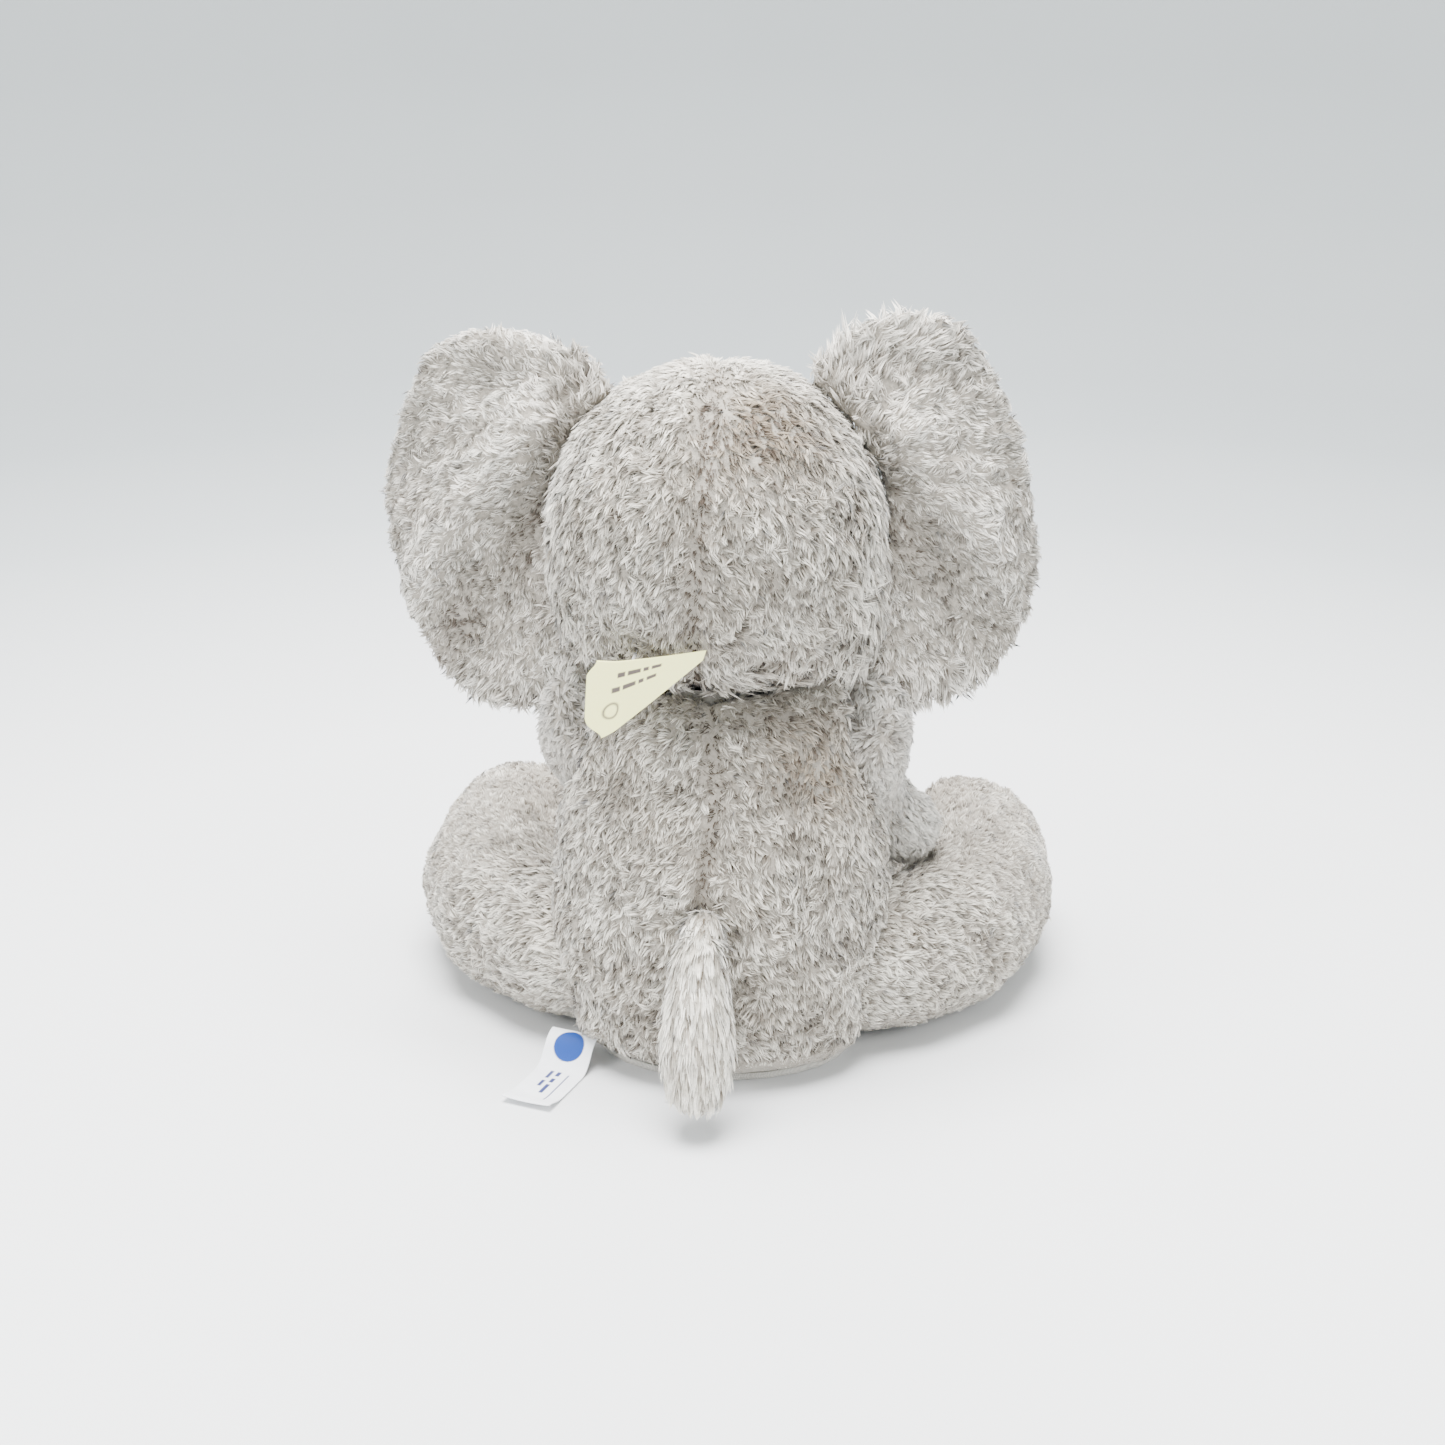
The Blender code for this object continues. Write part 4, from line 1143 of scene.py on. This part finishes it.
def label_place(u, v):
    run = np.interp(v, LABEL_SHARE, LABEL_RUN)[:, None]
    height = np.interp(v, LABEL_SHARE, LABEL_HEIGHT) + 0.5 * MM * smooth(v, 0.5, 1.0) * (u - 0.5) ** 2 * 4
    point = LABEL_ROOT + LABEL_SIDE * ((u - 0.5) * LABEL_W)[:, None] + LABEL_WAY * run
    point[:, 2] = height
    return point


def label_ink(u, v):
    disc = 1 - smooth(np.hypot((u - 0.5) * LABEL_W, (v - 0.155) * LABEL_L), 5.2 * MM, 5.5 * MM)
    bars = np.zeros_like(u)
    for u0, u1, words in ((0.60, 0.68, ((0.40, 0.52), (0.56, 0.66))),
                          (0.44, 0.53, ((0.40, 0.47), (0.51, 0.58), (0.61, 0.76))),
                          (0.26, 0.285, ((0.42, 0.88),))):
        for v0, v1 in words:
            bars = np.maximum(bars, bar(u, v, u0, u1, v0, v1))
    return (("disc", disc), ("bars", bars))


label = grid_sheet("satin_label", label_place, 60, 120, LABEL_T, label_ink)
m = Nodes("label_satin", 0.5, specular=0.2, sheen=0.05)
place = m.axes()
rib = m.math("ADD", *(m.math("MULTIPLY", place[axis], LABEL_SIDE[k] * RIBS) for k, axis in enumerate("XY")))
m.bump(m.math("SINE", rib), 0.02 * MM, 0.5)
satin = m.mix(m.noise(500.0, 3.0), (0.80, 0.81, 0.84), (0.90, 0.91, 0.93))
satin = m.mix(m.attribute("disc"), satin, (0.006, 0.045, 0.24))
label.data.materials.append(m.colour(m.mix(m.attribute("bars"), satin, (0.03, 0.04, 0.14))))
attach(label, "label")
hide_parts("sewn_label")


# ---------- soles

SOLE_PROFILE = ((5.0, 3.1), (10.0, 2.75), (14.5, 2.0), (16.6, 1.1), (17.4, 0.85), (18.3, 1.5),
                (19.4, 1.7), (20.3, 1.0), (20.4, 0.0), (19.0, -1.0))     # radius, height
SOLE_CROWN, SOLE_BACK = 3.2, -1.0
SOLE_STITCHES = 36


def sole_shape(side):
    """A crowned velour pad with a rolled rim, where the CAD pad is."""
    way = unit(leg_lines[side][-1] - leg_lines[side][-2])
    centre = middle_of(f"sole_{side}_pad")
    across = unit(np.cross(way, -DOWN))
    turn = circle(2 * SOLE_STITCHES, across, np.cross(across, way))
    angle = np.arange(2 * SOLE_STITCHES) * math.tau / (2 * SOLE_STITCHES)
    rings = []
    for radius, rise in SOLE_PROFILE:
        stitch = 0.18 * np.cos(angle * SOLE_STITCHES) * (17.0 < radius < 18.5)
        rings.append(centre + turn * radius * MM + way[None] * ((rise - stitch) * MM)[:, None])

    def tips(bm, loops):
        for loop, rise in ((loops[0], SOLE_CROWN), (loops[-1], SOLE_BACK)):
            tip = bm.verts.new(centre + way * rise * MM)
            for j in range(len(loop)):
                bm.faces.new((loop[j], loop[(j + 1) % len(loop)], tip))
        bmesh.ops.recalc_face_normals(bm, faces=bm.faces)

    name = f"sole_{side}_padding"
    obj = new_object(name, ring_mesh(name, rings, tips))
    subdivide(obj)
    STANDS_FOR[name] = (f"sole_{side}_pad",)
    return obj, way


for (side, _), seed in zip(SIDES, (140, 150)):
    pad, way = sole_shape(side)
    dressed(pad, f"leg_{side}", backing_lining)
    cover(f"leg_{side}", "sole_fabric", pad, velour_sole,
          [dict(seed=seed, flow=lambda p, n: np.tile(DOWN, (len(p), 1)), step=1.05, length=1.6, lift=(55, 20), width=0.36, curl=0.05,
                wander=0.3, density=lambda p, n, way=way: smooth(n @ way, -0.1, 0.2))], (f"sole_{side}_velour",))


# ---------- carried-over parts

woven = woven_material("seat_weave", (0.34, 0.32, 0.29), (0.52, 0.49, 0.45), 0.9 * MM)
tape = woven_material("binding_weave", (0.50, 0.48, 0.44), (0.70, 0.67, 0.62), 0.7 * MM)
closure = woven_material("closure_weave", (0.40, 0.38, 0.35), (0.60, 0.58, 0.54), 0.6 * MM, rise=0.4)
felt = backing_material("neck_felt", (0.13, 0.12, 0.105), (0.24, 0.225, 0.20))
washer = plastic_material("washer_plastic", (0.74, 0.74, 0.71), 0.45)
nylon = plastic_material("pin_nylon", (0.80, 0.80, 0.79), 0.3)
m = Nodes("eye_gloss", 0.08, specular=0.6, coat=0.6)
m.bump(m.noise(300.0, 2.0), 0.03 * MM, 0.1)
eye = m.colour(m.mix(m.noise(400.0, 3.0), (0.006, 0.005, 0.005), (0.018, 0.013, 0.011)))
for node, material in (("base_panel", woven), ("base_binding", tape), ("closure_hook_strip", closure),
                       ("closure_loop_strip", closure), ("neck_pad", felt), ("eye_washer_left", washer),
                       ("eye_washer_right", washer), ("tag_pin", nylon), ("eye_left", eye), ("eye_right", eye)):
    NODES[node].data.materials.clear()
    NODES[node].data.materials.append(material)


# ---------- stage, light and camera

STAGE = ((0.15, 0.0), (0.45, 0.0), (0.75, 0.0), (0.95, 0.0), (1.06, 0.012), (1.16, 0.05), (1.25, 0.12), (1.31, 0.22),
         (1.34, 0.36), (1.35, 0.8), (1.35, 1.8))
STAGE_SIDES = 96


def stage_floor(bm, loops):
    bm.faces.new(loops[0][::-1])
    bmesh.ops.reverse_faces(bm, faces=bm.faces)


turn = circle(STAGE_SIDES, np.array([1.0, 0.0, 0.0]), np.array([0.0, 1.0, 0.0]))
bowl = new_object("studio_bowl", ring_mesh("studio_bowl", [turn * r - DOWN * z for r, z in STAGE], stage_floor))
bowl.data.shade_smooth()
m = Nodes("studio_paper", 0.95, specular=0.1)
reach = m.add("ShaderNodeVectorMath", {"operation": "LENGTH"})
m.put(reach.inputs[0], m.place())
# Painted shade on the backdrop: the paper is lightest on the floor and darker out across the cove and up the walls
paper = m.ramp(m.math("MULTIPLY", reach.outputs["Value"], 0.5),
               ((0.16, (0.72, 0.725, 0.73)), (0.35, (0.45, 0.475, 0.485)), (0.5, (0.36, 0.385, 0.395)),
                (0.66, (0.29, 0.31, 0.315))))
bowl.data.materials.append(m.colour(m.mix(m.math("MULTIPLY", m.noise(6.0, 2.0), 0.06), paper, (0.6, 0.6, 0.6))))

world = bpy.data.worlds.new("studio")
world.use_nodes = True
world.node_tree.nodes["Background"].inputs["Color"].default_value = (0.95, 0.98, 1.0, 1.0)
world.node_tree.nodes["Background"].inputs["Strength"].default_value = 1.05
SCENE.world = world


LAMPS = (("top_soft", (0.05, 0.15, 1.45), 0.10, 1.0, 106.0), ("key_left", (0.95, 0.75, 0.85), 0.12, 0.6, 12.6),
         ("fill_right", (-0.95, 0.65, 0.75), 0.12, 0.6, 8.4), ("fill_front", (0.1, -1.1, 0.8), 0.12, 0.6, 11.2))
for name, place, aim, size, power in LAMPS:
    data = bpy.data.lights.new(name, "AREA")
    data.shape = "DISK"
    data.size = size
    data.energy = power
    lamp = new_object(name, data)
    lamp.location = place
    lamp.rotation_euler = (Vector((0, 0, aim)) - Vector(place)).to_track_quat("-Z", "Y").to_euler()

AZIMUTH, ELEVATION, DISTANCE = math.radians(185.5), math.radians(20.0), 0.75
TARGET = Vector((0.0, 0.0, 0.112))
back_way = Vector((math.sin(AZIMUTH) * math.cos(ELEVATION), -math.cos(AZIMUTH) * math.cos(ELEVATION),
                   math.sin(ELEVATION)))
data = bpy.data.cameras.new("camera")
data.lens = 58.3972             # on a 36 mm wide sensor
data.sensor_width = 36.0
data.clip_start = 0.01
camera = new_object("camera", data)
camera.location = TARGET + back_way * DISTANCE
camera.rotation_euler = (-back_way).to_track_quat("-Z", "Y").to_euler()
SCENE.camera = camera
